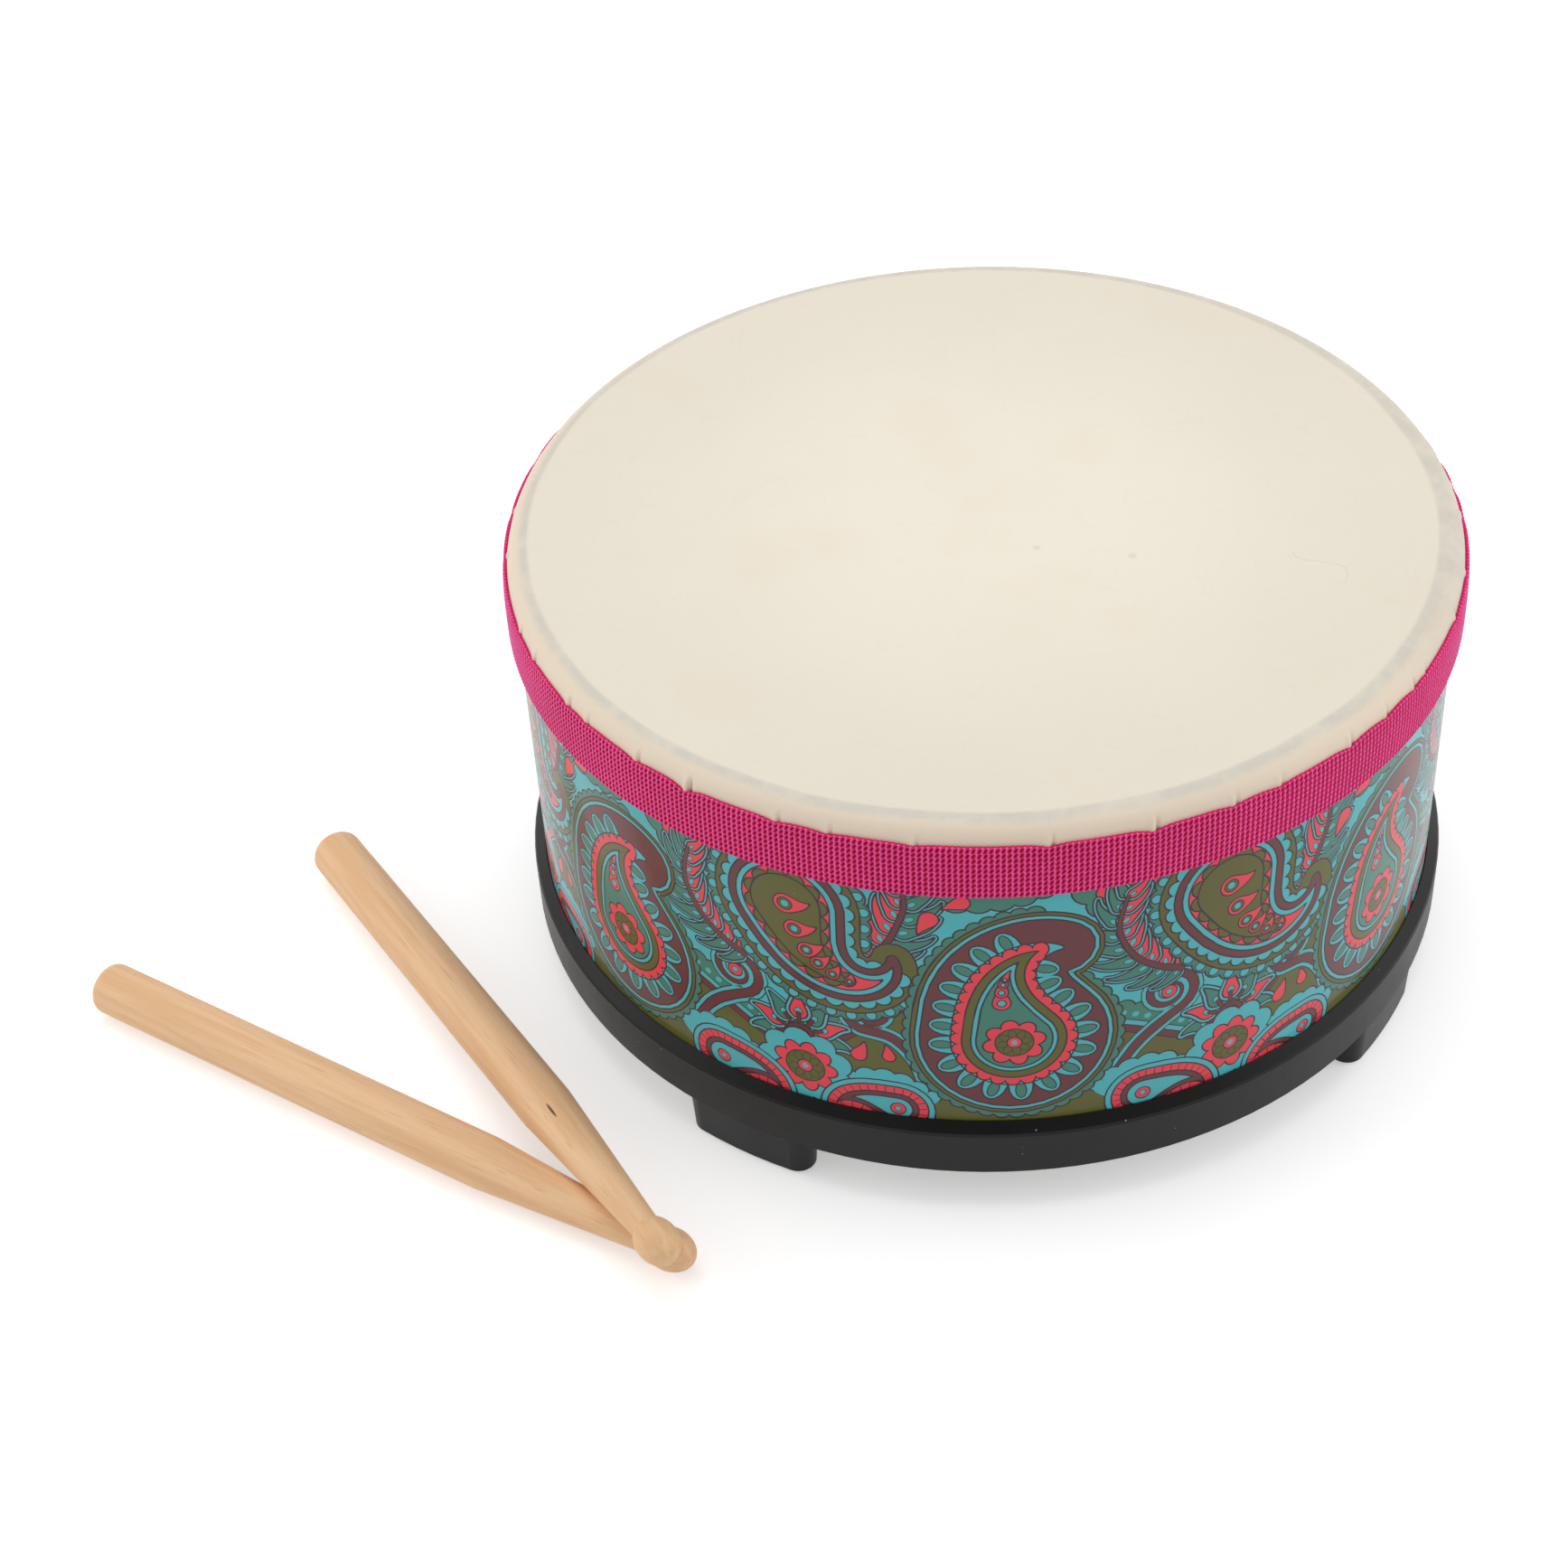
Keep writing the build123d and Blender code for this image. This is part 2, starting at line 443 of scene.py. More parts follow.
@dataclass(frozen=True)
class SkinFinish(Finish):
    """Pale drum skin: cream, palest in the middle, and greyer over the shell's edge, partly its own tone and
    partly painted shade. The bend is tan on its front-left side as painted light, and grey round the back
    and right as painted shade.

    Sizes are in millimetres, and a scale says how fine a pattern is, per metre.
    """

    name: str = "drum_skin"
    middle: Colour = colour(243, 235, 218)
    cream: Colour = colour(234, 226, 209)
    shade: Colour = colour(213, 207, 194)
    bend: Colour = colour(236, 220, 198)
    speck: Colour = colour(160, 142, 118)
    middle_radius: float = 22.0
    rest_radius: float = 121.1
    rest_fade: Point = (-0.5, 0.9)
    rest_shift: Point = (-0.6, 0.5)
    patch_scale: float = 140.0
    least_patch: float = 0.55
    edge_radius: float = 124.4
    edge_fade: Point = (-1.6, 1.0)
    wander: float = 1.4
    wander_scale: float = 30.0
    # The side that the painted light on the bend faces, how far it reaches and how little of it is left
    # behind.
    painted_lit_side: Place = (-0.5, -0.87, 0.0)
    painted_lit_reach: Point = (-0.35, 0.15)
    least_painted_lit: float = 0.12
    blush_scale: float = 26.0
    most_blush: float = 0.16
    fibre_scale: float = 34.0
    fibre_curl: float = 2.5
    fibre_width: float = 0.012
    fibre_share: float = 0.03
    spots: tuple[Point, ...] = ((14.6, -16.3), (39.6, -20.3))
    spot_radius: float = 1.5
    spot_share: float = 0.18
    hair: SkinHair = SkinHair()

    def spot_marks(self, sheet: NodeSheet, flat: Socket) -> Socket:
        """Lays the skin's round spots.

        Args:
            sheet: The material's sheet.
            flat: The place seen from above.

        Returns:
            The share of the dark colour.
        """
        share = 0.0
        for x, y in self.spots:
            apart = sheet.vector("DISTANCE", flat, (x * MM, y * MM, 0.0))
            edge = self.spot_radius * MM
            spot = sheet.spread(apart, 0.4 * edge, edge, (self.spot_share, 0.0))
            share = sheet.math("MAXIMUM", share, spot)
        return share

    def hair_mark(self, sheet: NodeSheet, flat: Socket) -> Socket:
        """Lays the curled hair, as a wave that runs along the hair's own X.

        Args:
            sheet: The material's sheet.
            flat: The place seen from above.

        Returns:
            The share of the dark colour.
        """
        hair = self.hair
        centre = (hair.centre[0] * MM, hair.centre[1] * MM, 0.0)
        feeds = {"Vector": flat, "Location": centre, "Rotation": (0.0, 0.0, radians(hair.turn))}
        own = sheet.add("ShaderNodeMapping", feeds, {"vector_type": "TEXTURE"}).outputs["Vector"]
        apart = sheet.add("ShaderNodeSeparateXYZ", {"Vector": own}).outputs
        wave = sheet.math("SINE", sheet.math("MULTIPLY", apart["X"], TURN / (hair.wave * MM)))
        off = sheet.math("SUBTRACT", apart["Y"], sheet.math("MULTIPLY", wave, hair.swing * MM))
        near = sheet.spread(sheet.math("ABSOLUTE", off), 0.0, hair.width * MM, (hair.share, 0.0))
        start, end = (reach * MM for reach in hair.reach)
        begun = sheet.spread(apart["X"], start, start + hair.fade * MM)
        ended = sheet.spread(apart["X"], end - hair.fade * MM, end, (1.0, 0.0))
        return sheet.math("MULTIPLY", near, sheet.math("MULTIPLY", begun, ended))

    def round_tone(self, sheet: NodeSheet, place: Socket, flat: Socket) -> Socket:
        """Lays the tones that go round the skin: the middle, the grey ring, partly painted shade, and the
        bend's tan, painted light on its front-left side.

        Args:
            sheet: The material's sheet.
            place: The object's coordinates.
            flat: The place seen from above.

        Returns:
            The tone.
        """
        wander = sheet.sway(sheet.noise(place, self.wander_scale), self.wander * MM)
        radius = sheet.math("ADD", sheet.vector("LENGTH", flat), wander)
        shift = (self.rest_shift[0] * MM, self.rest_shift[1] * MM, 0.0)
        shifted = sheet.math("ADD", sheet.vector("LENGTH", sheet.vector("SUBTRACT", flat, shift)), wander)
        rest, edge = self.rest_radius * MM, self.edge_radius * MM
        ring = sheet.spread(shifted, *(rest + fade * MM for fade in self.rest_fade))
        patches = sheet.noise(place, self.patch_scale, 3.0, 0.6)
        patch = sheet.spread(patches, 0.3, 0.62, (self.least_patch, 1.0))
        turned = sheet.spread(radius, *(edge + fade * MM for fade in self.edge_fade))
        # Painted light: the bend turns tan on the side that faces the front-left and stays grey, as painted
        # shade, towards the back and right.
        facing = sheet.vector("DOT_PRODUCT", place, self.painted_lit_side)
        painted_lit = sheet.spread(facing, *(share * edge for share in self.painted_lit_reach), (self.least_painted_lit, 1.0))
        skin = sheet.mix(sheet.spread(radius, self.middle_radius * MM, rest), self.middle, self.cream)
        # The grey ring is partly the skin's own tone over the shell's edge and partly painted shade on the
        # bend.
        greyed = sheet.mix(sheet.math("MULTIPLY", ring, patch), skin, self.shade)
        return sheet.mix(sheet.math("MULTIPLY", turned, painted_lit), greyed, self.bend)

    def surface(self, sheet: NodeSheet) -> dict[str, Any]:
        """Lays the skin's nodes.

        Args:
            sheet: The material's sheet.

        Returns:
            What feeds the shader.
        """
        place = sheet.object_place()
        flat = sheet.vector("MULTIPLY", place, (1.0, 1.0, 0.0))
        tone = self.round_tone(sheet, place, flat)
        blushes = sheet.noise(place, self.blush_scale, 2.0, 0.5)
        blush = sheet.spread(blushes, 0.5, 0.75, (0.0, self.most_blush))
        tone = sheet.mix(blush, tone, self.bend)
        fibre = {"Vector": place, "Scale": self.fibre_scale, "Distortion": self.fibre_curl, "Detail": 2.0}
        field_line = sheet.add("ShaderNodeTexNoise", fibre).outputs["Fac"]
        off = sheet.math("ABSOLUTE", sheet.math("SUBTRACT", field_line, 0.5))
        line = sheet.math("SUBTRACT", 1.0, sheet.spread(off, 0.0, self.fibre_width))
        tone = sheet.mix(sheet.math("MULTIPLY", line, self.fibre_share), tone, self.speck)
        marks = sheet.math("MAXIMUM", self.spot_marks(sheet, flat), self.hair_mark(sheet, flat))
        tone = sheet.mix(marks, tone, self.speck)
        feeds = {
            "Vector": place,
            "Color": tone,
            "Cloud Scale": 18.0,
            "Cloud Depth": 0.055,
            "Speck Color": self.speck,
            "Speck Scale": 90.0,
            "Speck Size": 0.035,
            "Speck Share": 0.05,
            "Roughness": 0.52,
            "Roughness Spread": 0.14,
            "Grain Scale": 700.0,
        }
        worn = sheet.group(HANDLED_SURFACE, feeds)
        return {
            "Base Color": worn.outputs["Color"],
            "Roughness": worn.outputs["Roughness"],
            "Normal": sheet.bump(worn.outputs["Height"], 0.25, 0.12 * MM),
            "Specular IOR Level": 0.4,
        }


@dataclass(frozen=True)
class WebbingFinish(Finish):
    """Woven polyester tape: shiny strands over deep holes, told apart by the weave's height; the holes carry
    painted shade and the strands' tops a painted highlight.
    """

    name: str = "woven_webbing"
    strand: Colour = colour(255, 108, 184)
    side: Colour = colour(214, 4, 86)
    hole: Colour = colour(112, 0, 36)
    weave_layer: str = "weave"
    thread_scale: float = 1500.0
    thread_depth: float = 0.35
    hole_reach: Point = (0.1, 0.58)
    strand_reach: Point = (0.55, 0.95)
    cloud_scale: float = 60.0
    cloud_depth: float = 0.18

    def surface(self, sheet: NodeSheet) -> dict[str, Any]:
        """Lays the webbing's nodes.

        Args:
            sheet: The material's sheet.

        Returns:
            What feeds the shader.
        """
        layer = {"attribute_name": self.weave_layer}
        height = sheet.add("ShaderNodeAttribute", settings=layer).outputs["Fac"]
        place = sheet.object_place()
        thread = sheet.noise(place, self.thread_scale, 2.0, 0.7)
        level = sheet.math("ADD", height, sheet.sway(thread, self.thread_depth))
        # Painted shade: the holes take a dark crimson. The strands' pale pink is partly their own colour and
        # partly a painted highlight on their tops.
        low = sheet.mix(sheet.spread(level, *self.hole_reach), self.hole, self.side)
        tone = sheet.mix(sheet.spread(level, *self.strand_reach), low, self.strand)
        cloud = sheet.sway(sheet.noise(place, self.cloud_scale), self.cloud_depth)
        return {
            "Base Color": sheet.brighten(tone, sheet.math("ADD", cloud, 1.0)),
            "Roughness": sheet.spread(level, 0.0, 1.0, (0.75, 0.42)),
            "Normal": sheet.bump(thread, 0.5, 0.08 * MM),
            "Specular IOR Level": 0.15,
            "Sheen Weight": 0.4,
            "Sheen Roughness": 0.3,
            "Sheen Tint": colour(255, 116, 218),
        }


@dataclass(frozen=True)
class MouldedPlasticFinish(Finish):
    """Black moulded plastic with a fine spark texture, a little dust and dull patches."""

    name: str = "moulded_black_plastic"
    black: Colour = colour(16, 14, 13)
    dust: Colour = colour(150, 148, 142)

    def surface(self, sheet: NodeSheet) -> dict[str, Any]:
        """Lays the plastic's nodes.

        Args:
            sheet: The material's sheet.

        Returns:
            What feeds the shader.
        """
        feeds = {
            "Vector": sheet.object_place(),
            "Color": self.black,
            "Cloud Scale": 40.0,
            "Cloud Depth": 0.5,
            "Speck Color": self.dust,
            "Speck Scale": 300.0,
            "Speck Size": 0.07,
            "Speck Share": 0.09,
            "Roughness": 0.42,
            "Roughness Spread": 0.20,
            "Grain Scale": 1800.0,
        }
        worn = sheet.group(HANDLED_SURFACE, feeds)
        return {
            "Base Color": worn.outputs["Color"],
            "Roughness": worn.outputs["Roughness"],
            "Normal": sheet.bump(worn.outputs["Height"], 0.4, 0.1 * MM),
            "Specular IOR Level": 0.26,
        }


@dataclass(frozen=True)
class TurnedBirchFinish(Finish):
    """Pale birch turned on a lathe and waxed, its grain along the stick, with short checks.

    A check is a short crack: its place is in metres along the stick's own axes, its half sizes
    in millimetres.
    """

    name: str = "turned_birch"
    centre: Place = ORIGIN
    turn: Place = ORIGIN
    checks: tuple[Place, ...] = ()
    check_size: Place = (3.6, 0.45, 2.5)
    check_share: float = 0.9
    light: Colour = colour(244, 203, 159)
    dark: Colour = colour(234, 188, 141)
    pore: Colour = colour(214, 161, 113)
    check: Colour = colour(96, 58, 38)

    def surface(self, sheet: NodeSheet) -> dict[str, Any]:
        """Lays the wood's nodes.

        Args:
            sheet: The material's sheet.

        Returns:
            What feeds the shader.
        """
        feeds = {"Vector": sheet.object_place(), "Location": self.centre, "Rotation": self.turn}
        along = sheet.add("ShaderNodeMapping", feeds, {"vector_type": "TEXTURE"}).outputs["Vector"]
        feeds = {
            "Vector": along,
            "Light": self.light,
            "Dark": self.dark,
            "Pore": self.pore,
            "Band Scale": 380.0,
            "Roughness": 0.5,
        }
        grain = sheet.group(WOOD_GRAIN, feeds)
        tone = grain.outputs["Color"]
        shares = tuple(1 / (size * MM) for size in self.check_size)
        for place in self.checks:
            scaled = sheet.vector("MULTIPLY", sheet.vector("SUBTRACT", along, place), shares)
            gone = sheet.spread(sheet.vector("LENGTH", scaled), 0.6, 1.0, (self.check_share, 0.0))
            tone = sheet.mix(gone, tone, self.check)
        return {
            "Base Color": tone,
            "Roughness": grain.outputs["Roughness"],
            "Normal": sheet.bump(grain.outputs["Height"], 0.3, 0.12 * MM),
            "Specular IOR Level": 0.3,
        }


@dataclass(frozen=True)
class PlywoodFinish(Finish):
    """Bent plywood, its face grain round the shell and its plies in rings on the bare edges."""

    name: str = "shell_plywood"
    ply: float = 1.2
    mean_radius: float = 120.0
    face: Colour = colour(198, 164, 120)
    core: Colour = colour(170, 128, 84)
    dark: Colour = colour(176, 134, 90)
    pore: Colour = colour(112, 78, 48)

    def surface(self, sheet: NodeSheet) -> dict[str, Any]:
        """Lays the plywood's nodes.

        Args:
            sheet: The material's sheet.

        Returns:
            What feeds the shader.
        """
        place = sheet.object_place()
        apart = sheet.add("ShaderNodeSeparateXYZ", {"Vector": place}).outputs
        turned = sheet.math("ABSOLUTE", sheet.math("ARCTAN2", apart["Y"], apart["X"]))
        way_round = sheet.math("MULTIPLY", turned, self.mean_radius * MM)
        radius = sheet.vector("LENGTH", sheet.vector("MULTIPLY", place, (1.0, 1.0, 0.0)))
        unrolled = {"X": way_round, "Y": radius, "Z": apart["Z"]}
        layer = sheet.math("MODULO", sheet.math("DIVIDE", radius, self.ply * MM), 2.0)
        feeds = {
            "Vector": sheet.add("ShaderNodeCombineXYZ", unrolled).outputs["Vector"],
            "Light": sheet.mix(sheet.spread(layer, 0.9, 1.1), self.face, self.core),
            "Dark": self.dark,
            "Pore": self.pore,
            "Band Scale": 120.0,
            "Roughness": 0.6,
        }
        grain = sheet.group(WOOD_GRAIN, feeds)
        return {
            "Base Color": grain.outputs["Color"],
            "Roughness": grain.outputs["Roughness"],
            "Normal": sheet.bump(grain.outputs["Height"], 0.4, 0.2 * MM),
        }


@dataclass(frozen=True)
class StapleFinish(Finish):
    """Bright steel staple wire with faint drawing marks."""

    name: str = "staple_steel"
    bright: Colour = colour(196, 194, 190)
    dull: Colour = colour(150, 148, 144)
    mark_scale: float = 2400.0
    dull_scale: float = 180.0

    def surface(self, sheet: NodeSheet) -> dict[str, Any]:
        """Lays the wire's nodes.

        Args:
            sheet: The material's sheet.

        Returns:
            What feeds the shader.
        """
        place = sheet.object_place()
        marks = sheet.noise(place, self.mark_scale, 2.0, 0.6)
        return {
            "Base Color": sheet.mix(sheet.noise(place, self.dull_scale), self.bright, self.dull),
            "Roughness": sheet.spread(marks, 0.2, 0.8, (0.25, 0.45)),
            "Normal": sheet.bump(marks, 0.3, 0.05 * MM),
            "Metallic": 1.0,
        }


@dataclass(frozen=True)
class FloorFinish(Finish):
    """Pale matt paper that reads white to the camera and still takes a shadow.

    Its own glow grows with the distance from the middle, from one reach to the other in metres.
    """

    name: str = "studio_paper"
    paper: Colour = colour(244, 244, 244)
    near_lift: float = 0.42
    far_lift: float = 0.62
    near_reach: float = 0.6
    far_reach: float = 2.5

    def surface(self, sheet: NodeSheet) -> dict[str, Any]:
        """Lays the paper's nodes.

        Args:
            sheet: The material's sheet.

        Returns:
            What feeds the shader.
        """
        ray = sheet.add("ShaderNodeLightPath").outputs
        seen = sheet.math("MAXIMUM", ray["Is Camera Ray"], ray["Is Glossy Ray"])
        away = sheet.vector("LENGTH", sheet.object_place())
        lift = sheet.spread(away, self.near_reach, self.far_reach, (self.near_lift, self.far_lift))
        return {
            "Base Color": self.paper,
            "Roughness": 0.9,
            "Specular IOR Level": 0.1,
            "Emission Color": WHITE,
            "Emission Strength": sheet.math("MULTIPLY", seen, lift),
        }


# ---------------------------------------------------------------- shared mesh work


def new_piece(name: str, points: Sequence[Place], faces: Sequence[Sequence[int]]) -> bpy.types.Object:
    """Makes a mesh object at the origin.

    Args:
        name: The piece's name.
        points: Its corners, in metres.
        faces: The corners of each face, by number.

    Returns:
        The new object.
    """
    mesh = bpy.data.meshes.new(name)
    mesh.from_pydata(points, [], faces)
    mesh.update()
    piece = bpy.data.objects.new(name, mesh)
    bpy.context.scene.collection.objects.link(piece)
    return piece


@contextmanager
def edit_mode(piece: bpy.types.Object) -> Iterator[None]:
    """Opens one piece in edit mode with nothing else selected.

    Args:
        piece: The piece to edit.

    Yields:
        Nothing.
    """
    bpy.ops.object.select_all(action="DESELECT")
    piece.select_set(True)
    bpy.context.view_layer.objects.active = piece
    bpy.ops.object.mode_set(mode="EDIT")
    yield
    bpy.ops.object.mode_set(mode="OBJECT")


def fresh_piece(name: str, add: Callable[..., Any], **sizes: Any) -> bpy.types.Object:
    """Adds a primitive about the origin with nothing else selected, and names it.

    Args:
        name: The piece's name.
        add: The operator that adds the primitive.
        **sizes: The primitive's sizes.

    Returns:
        The new object.
    """
    bpy.ops.object.select_all(action="DESELECT")
    add(calc_uvs=False, **sizes)
    piece = bpy.context.object
    piece.name = piece.data.name = name
    return piece


def corner_places(piece: bpy.types.Object) -> np.ndarray:
    """A piece's corners, one in each row, in metres."""
    places = np.empty(3 * len(piece.data.vertices), dtype=np.float32)
    piece.data.vertices.foreach_get("co", places)
    return places.reshape(-1, 3).astype(float)


def move_corners(piece: bpy.types.Object, places: np.ndarray) -> None:
    """Moves a piece's corners to new places, one in each row, in metres."""
    piece.data.vertices.foreach_set("co", places.astype(np.float32).ravel())
    piece.data.update()


def order_faces(piece: bpy.types.Object) -> None:
    """Puts a bare piece's faces in the order of their corners, which extruding leaves to chance.

    Args:
        piece: The piece, before it is shaded or dressed.
    """
    corners = [tuple(corner.co) for corner in piece.data.vertices]
    faces = []
    for face in piece.data.polygons:
        around = list(face.vertices)
        first = around.index(min(around))
        faces.append(around[first:] + around[:first])
    piece.data.clear_geometry()
    piece.data.from_pydata(corners, [], sorted(faces))


def round_place(angle: float, radius: float, height: float) -> Place:
    """The point at this angle and radius about the drum's axis, at this height."""
    return (radius * cos(angle), radius * sin(angle), height)


def turn_apart(angles: np.ndarray, bearing: float) -> np.ndarray:
    """How far angles in radians are past a bearing in degrees, from -pi to pi."""
    return (angles - radians(bearing) + pi) % TURN - pi


def bell(places: np.ndarray, width: float) -> np.ndarray:
    """A smooth hump that is 1 at 0 and has this width each way."""
    return np.exp(-((places / width) ** 2))


def set_only(piece: bpy.types.Object, material: bpy.types.Material) -> None:
    """Gives a piece one material for all its faces."""
    piece.data.materials.clear()
    piece.data.materials.append(material)


def smooth(piece: bpy.types.Object, angle: float) -> None:
    """Shades a piece smooth, but keeps edges sharper than this angle, in degrees.

    Args:
        piece: The mesh object.
        angle: The least angle that stays sharp.
    """
    bpy.ops.object.select_all(action="DESELECT")
    piece.select_set(True)
    bpy.context.view_layer.objects.active = piece
    bpy.ops.object.shade_smooth_by_angle(angle=radians(angle))


def dress_node(name: str, material: bpy.types.Material) -> bpy.types.Object:
    """Gives a CAD node a better material in each of its slots.

    Args:
        name: The node's name.
        material: The material.

    Returns:
        The node's object.
    """
    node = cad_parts[name]
    for place in node.material_slots:
        place.material = material
    return node


# ---------------------------------------------------------------- pleats


@dataclass(frozen=True)
class Pleat:
    """A small fold in the skin at the rim: where it is, in degrees, and how strong."""

    bearing: float
    strength: float


@dataclass(frozen=True)
class RimPleats:
    """The folds that the skin makes where it is drawn over the rim.

    Sizes are in millimetres. Bearings and the spacing behind are in degrees.
    """

    rim_radius: float = 127.85
    ridge_width: float = 0.85
    ridge_share: float = 0.6
    groove_width: float = 0.5
    groove_offset: float = 1.25
    dip_width: float = 3.2
    front: tuple[Pleat, ...] = (
        Pleat(-160, 0.6),
        Pleat(-154.5, 0.7),
        Pleat(-145, 0.7),
        Pleat(-141, 0.5),
        Pleat(-132, 0.7),
        Pleat(-124.4, 1.3),
        Pleat(-113, 0.6),
        Pleat(-107, 0.5),
        Pleat(-97.5, 0.5),
        Pleat(-83, 0.7),
        Pleat(-71.5, 1.0),
        Pleat(-62, 0.6),
        Pleat(-56, 0.5),
        Pleat(-45.5, 0.8),
        Pleat(-39, 0.6),
        Pleat(-33, 0.7),
        Pleat(-30, 0.4),
        Pleat(-19, 0.7),
    )
    back_start: float = -10.0
    back_end: float = 192.0
    spacing: float = 8.4
    stray: float = 0.35
    back_strengths: Point = (0.4, 1.0)
    seed: int = 11

    def all(self) -> list[Pleat]:
        """Every pleat round the drum.

        Returns:
            The front ones and, behind, ones about as far apart with an even hand.
        """
        dice = random.Random(self.seed)
        count = int((self.back_end - self.back_start) / self.spacing)
        found = list(self.front)
        for number in range(count):
            bearing = self.back_start + self.spacing * (number + dice.uniform(-self.stray, self.stray))
            found.append(Pleat(bearing, dice.uniform(*self.back_strengths)))
        return found

    def relief(self, angles: np.ndarray) -> np.ndarray:
        """How far the skin stands out at each angle, with a pleat's full strength as 1.

        Args:
            angles: Angles about the drum's axis, in radians.

        Returns:
            Ridges above 0 and grooves below.
        """
        total = np.zeros_like(angles)
        for pleat in self.all():
            along = turn_apart(angles, pleat.bearing) * self.rim_radius
            groove = bell(along - self.groove_offset, self.groove_width)
            total += pleat.strength * (self.ridge_share * bell(along, self.ridge_width) - groove)
        return total

    def dip(self, angles: np.ndarray) -> np.ndarray:
        """How far the webbing's top edge is drawn down at each angle, with full strength as 1.

        Args:
            angles: Angles about the drum's axis, in radians.

        Returns:
            The dip's share at each angle.
        """
        total = np.zeros_like(angles)
        for pleat in self.all():
            along = turn_apart(angles, pleat.bearing) * self.rim_radius
            total += pleat.strength * bell(along, self.dip_width)
        return total


# ---------------------------------------------------------------- drum head


@dataclass
class DrumHead:
    """The skin: flat on top, drawn over the shell's edge in small pleats, with a skirt.

    Sizes are in millimetres.
    """

    pleats: RimPleats
    steps: int = 1800
    arc_steps: int = 9
    skirt_steps: int = 4
    inner_ring: float = 60.0
    flat_margin: float = 2.0
    thickness: float = 0.8
    edge_radius: float = 5.5
    pleat_depth: float = 0.8
    pleat_top_margin: float = 1.6
    pleat_fade: float = 2.4
    sharp_angle: float = 50.0
    finish: SkinFinish = field(default_factory=SkinFinish)

    def __post_init__(self) -> None:
        """Reads the skin's outer size from its CAD solid."""
        low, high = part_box("drum_head")
        self.radius = high.x / MM
        self.top = high.z / MM
        self.bottom = low.z / MM

    def section(self) -> list[Point]:
        """The skin's section as (radius, height) points, over the top, down the skirt and back.

        Returns:
            The points, in millimetres, without the two on the axis.
        """
        outer, inner = self.edge_radius, self.edge_radius - self.thickness
        centre = (self.radius - outer, self.top - outer)
        skirt = self.bottom - centre[1]
        below = self.top - self.thickness
        flats = (self.inner_ring, centre[0] - self.flat_margin)
        top = [(radius, self.top) for radius in flats]
        over = [self.on_arc(centre, outer, step / self.arc_steps) for step in range(self.arc_steps + 1)]
        shares = [step / self.skirt_steps for step in range(1, self.skirt_steps + 1)]
        down = [(self.radius, centre[1] + skirt * share) for share in shares]
        up = [(self.radius - self.thickness, self.bottom)]
        under = [self.on_arc(centre, inner, 1 - step / self.arc_steps) for step in range(self.arc_steps + 1)]
        back = [(radius, below) for radius in reversed(flats)]
        return top + over + down + up + under + back

    @staticmethod
    def on_arc(centre: Point, radius: float, share: float) -> Point:
        """The point on a quarter circle this share of the way from its top to its side."""
        angle = share * pi / 2
        return (centre[0] + radius * sin(angle), centre[1] + radius * cos(angle))

    def plain_cap(self) -> bpy.types.Object:
        """Draws the cap: a disc whose rim is extruded along the whole section, then closed below.

        Returns:
            The cap without its pleats.
        """
        (radius, height), *rings = self.section()
        cap = fresh_piece(
            "pleated_drum_head",
            bpy.ops.mesh.primitive_circle_add,
            vertices=self.steps,
            radius=radius * MM,
            fill_type="TRIFAN",
        )
        with edit_mode(cap):
            bpy.ops.mesh.select_all(action="SELECT")
            bpy.ops.transform.translate(value=(0.0, 0.0, height * MM))
            bpy.ops.mesh.select_all(action="DESELECT")
            bpy.ops.mesh.select_non_manifold()
            for next_radius, next_height in rings:
                drop = (0.0, 0.0, (next_height - height) * MM)
                bpy.ops.mesh.extrude_region_move(TRANSFORM_OT_translate={"value": drop})
                share = next_radius / radius
                bpy.ops.transform.resize(value=(share, share, 1.0), center_override=ORIGIN)
                radius, height = next_radius, next_height
            bpy.ops.mesh.edge_face_add()
            bpy.ops.mesh.poke()
        order_faces(cap)
        return cap

    def fold(self, cap: bpy.types.Object) -> None:
        """Moves the cap's bend and skirt out and in along the pleats.

        Args:
            cap: The cap.
        """
        places = corner_places(cap) / MM
        angles = np.arctan2(places[:, 1], places[:, 0])
        radii = np.hypot(places[:, 0], places[:, 1])
        below = self.top - self.pleat_top_margin - places[:, 2]
        fall = np.clip(below / self.pleat_fade, 0.0, 1.0)
        bent = radii > self.radius - self.edge_radius
        depth = self.pleat_depth * bent * fall**2 * (3 - 2 * fall)
        share = 1 + depth * self.pleats.relief(angles) / np.maximum(radii, self.thickness)
        places[:, :2] *= share[:, None]
        move_corners(cap, places * MM)

    def build(self) -> bpy.types.Object:
        """Makes the pleated skin and dresses it.

        Returns:
            The finished piece.
        """
        head = self.plain_cap()
        self.fold(head)
        smooth(head, self.sharp_angle)
        set_only(head, self.finish.material())
        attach(head, "drum")
        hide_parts("drum_head")
        return head


# ---------------------------------------------------------------- edge webbing


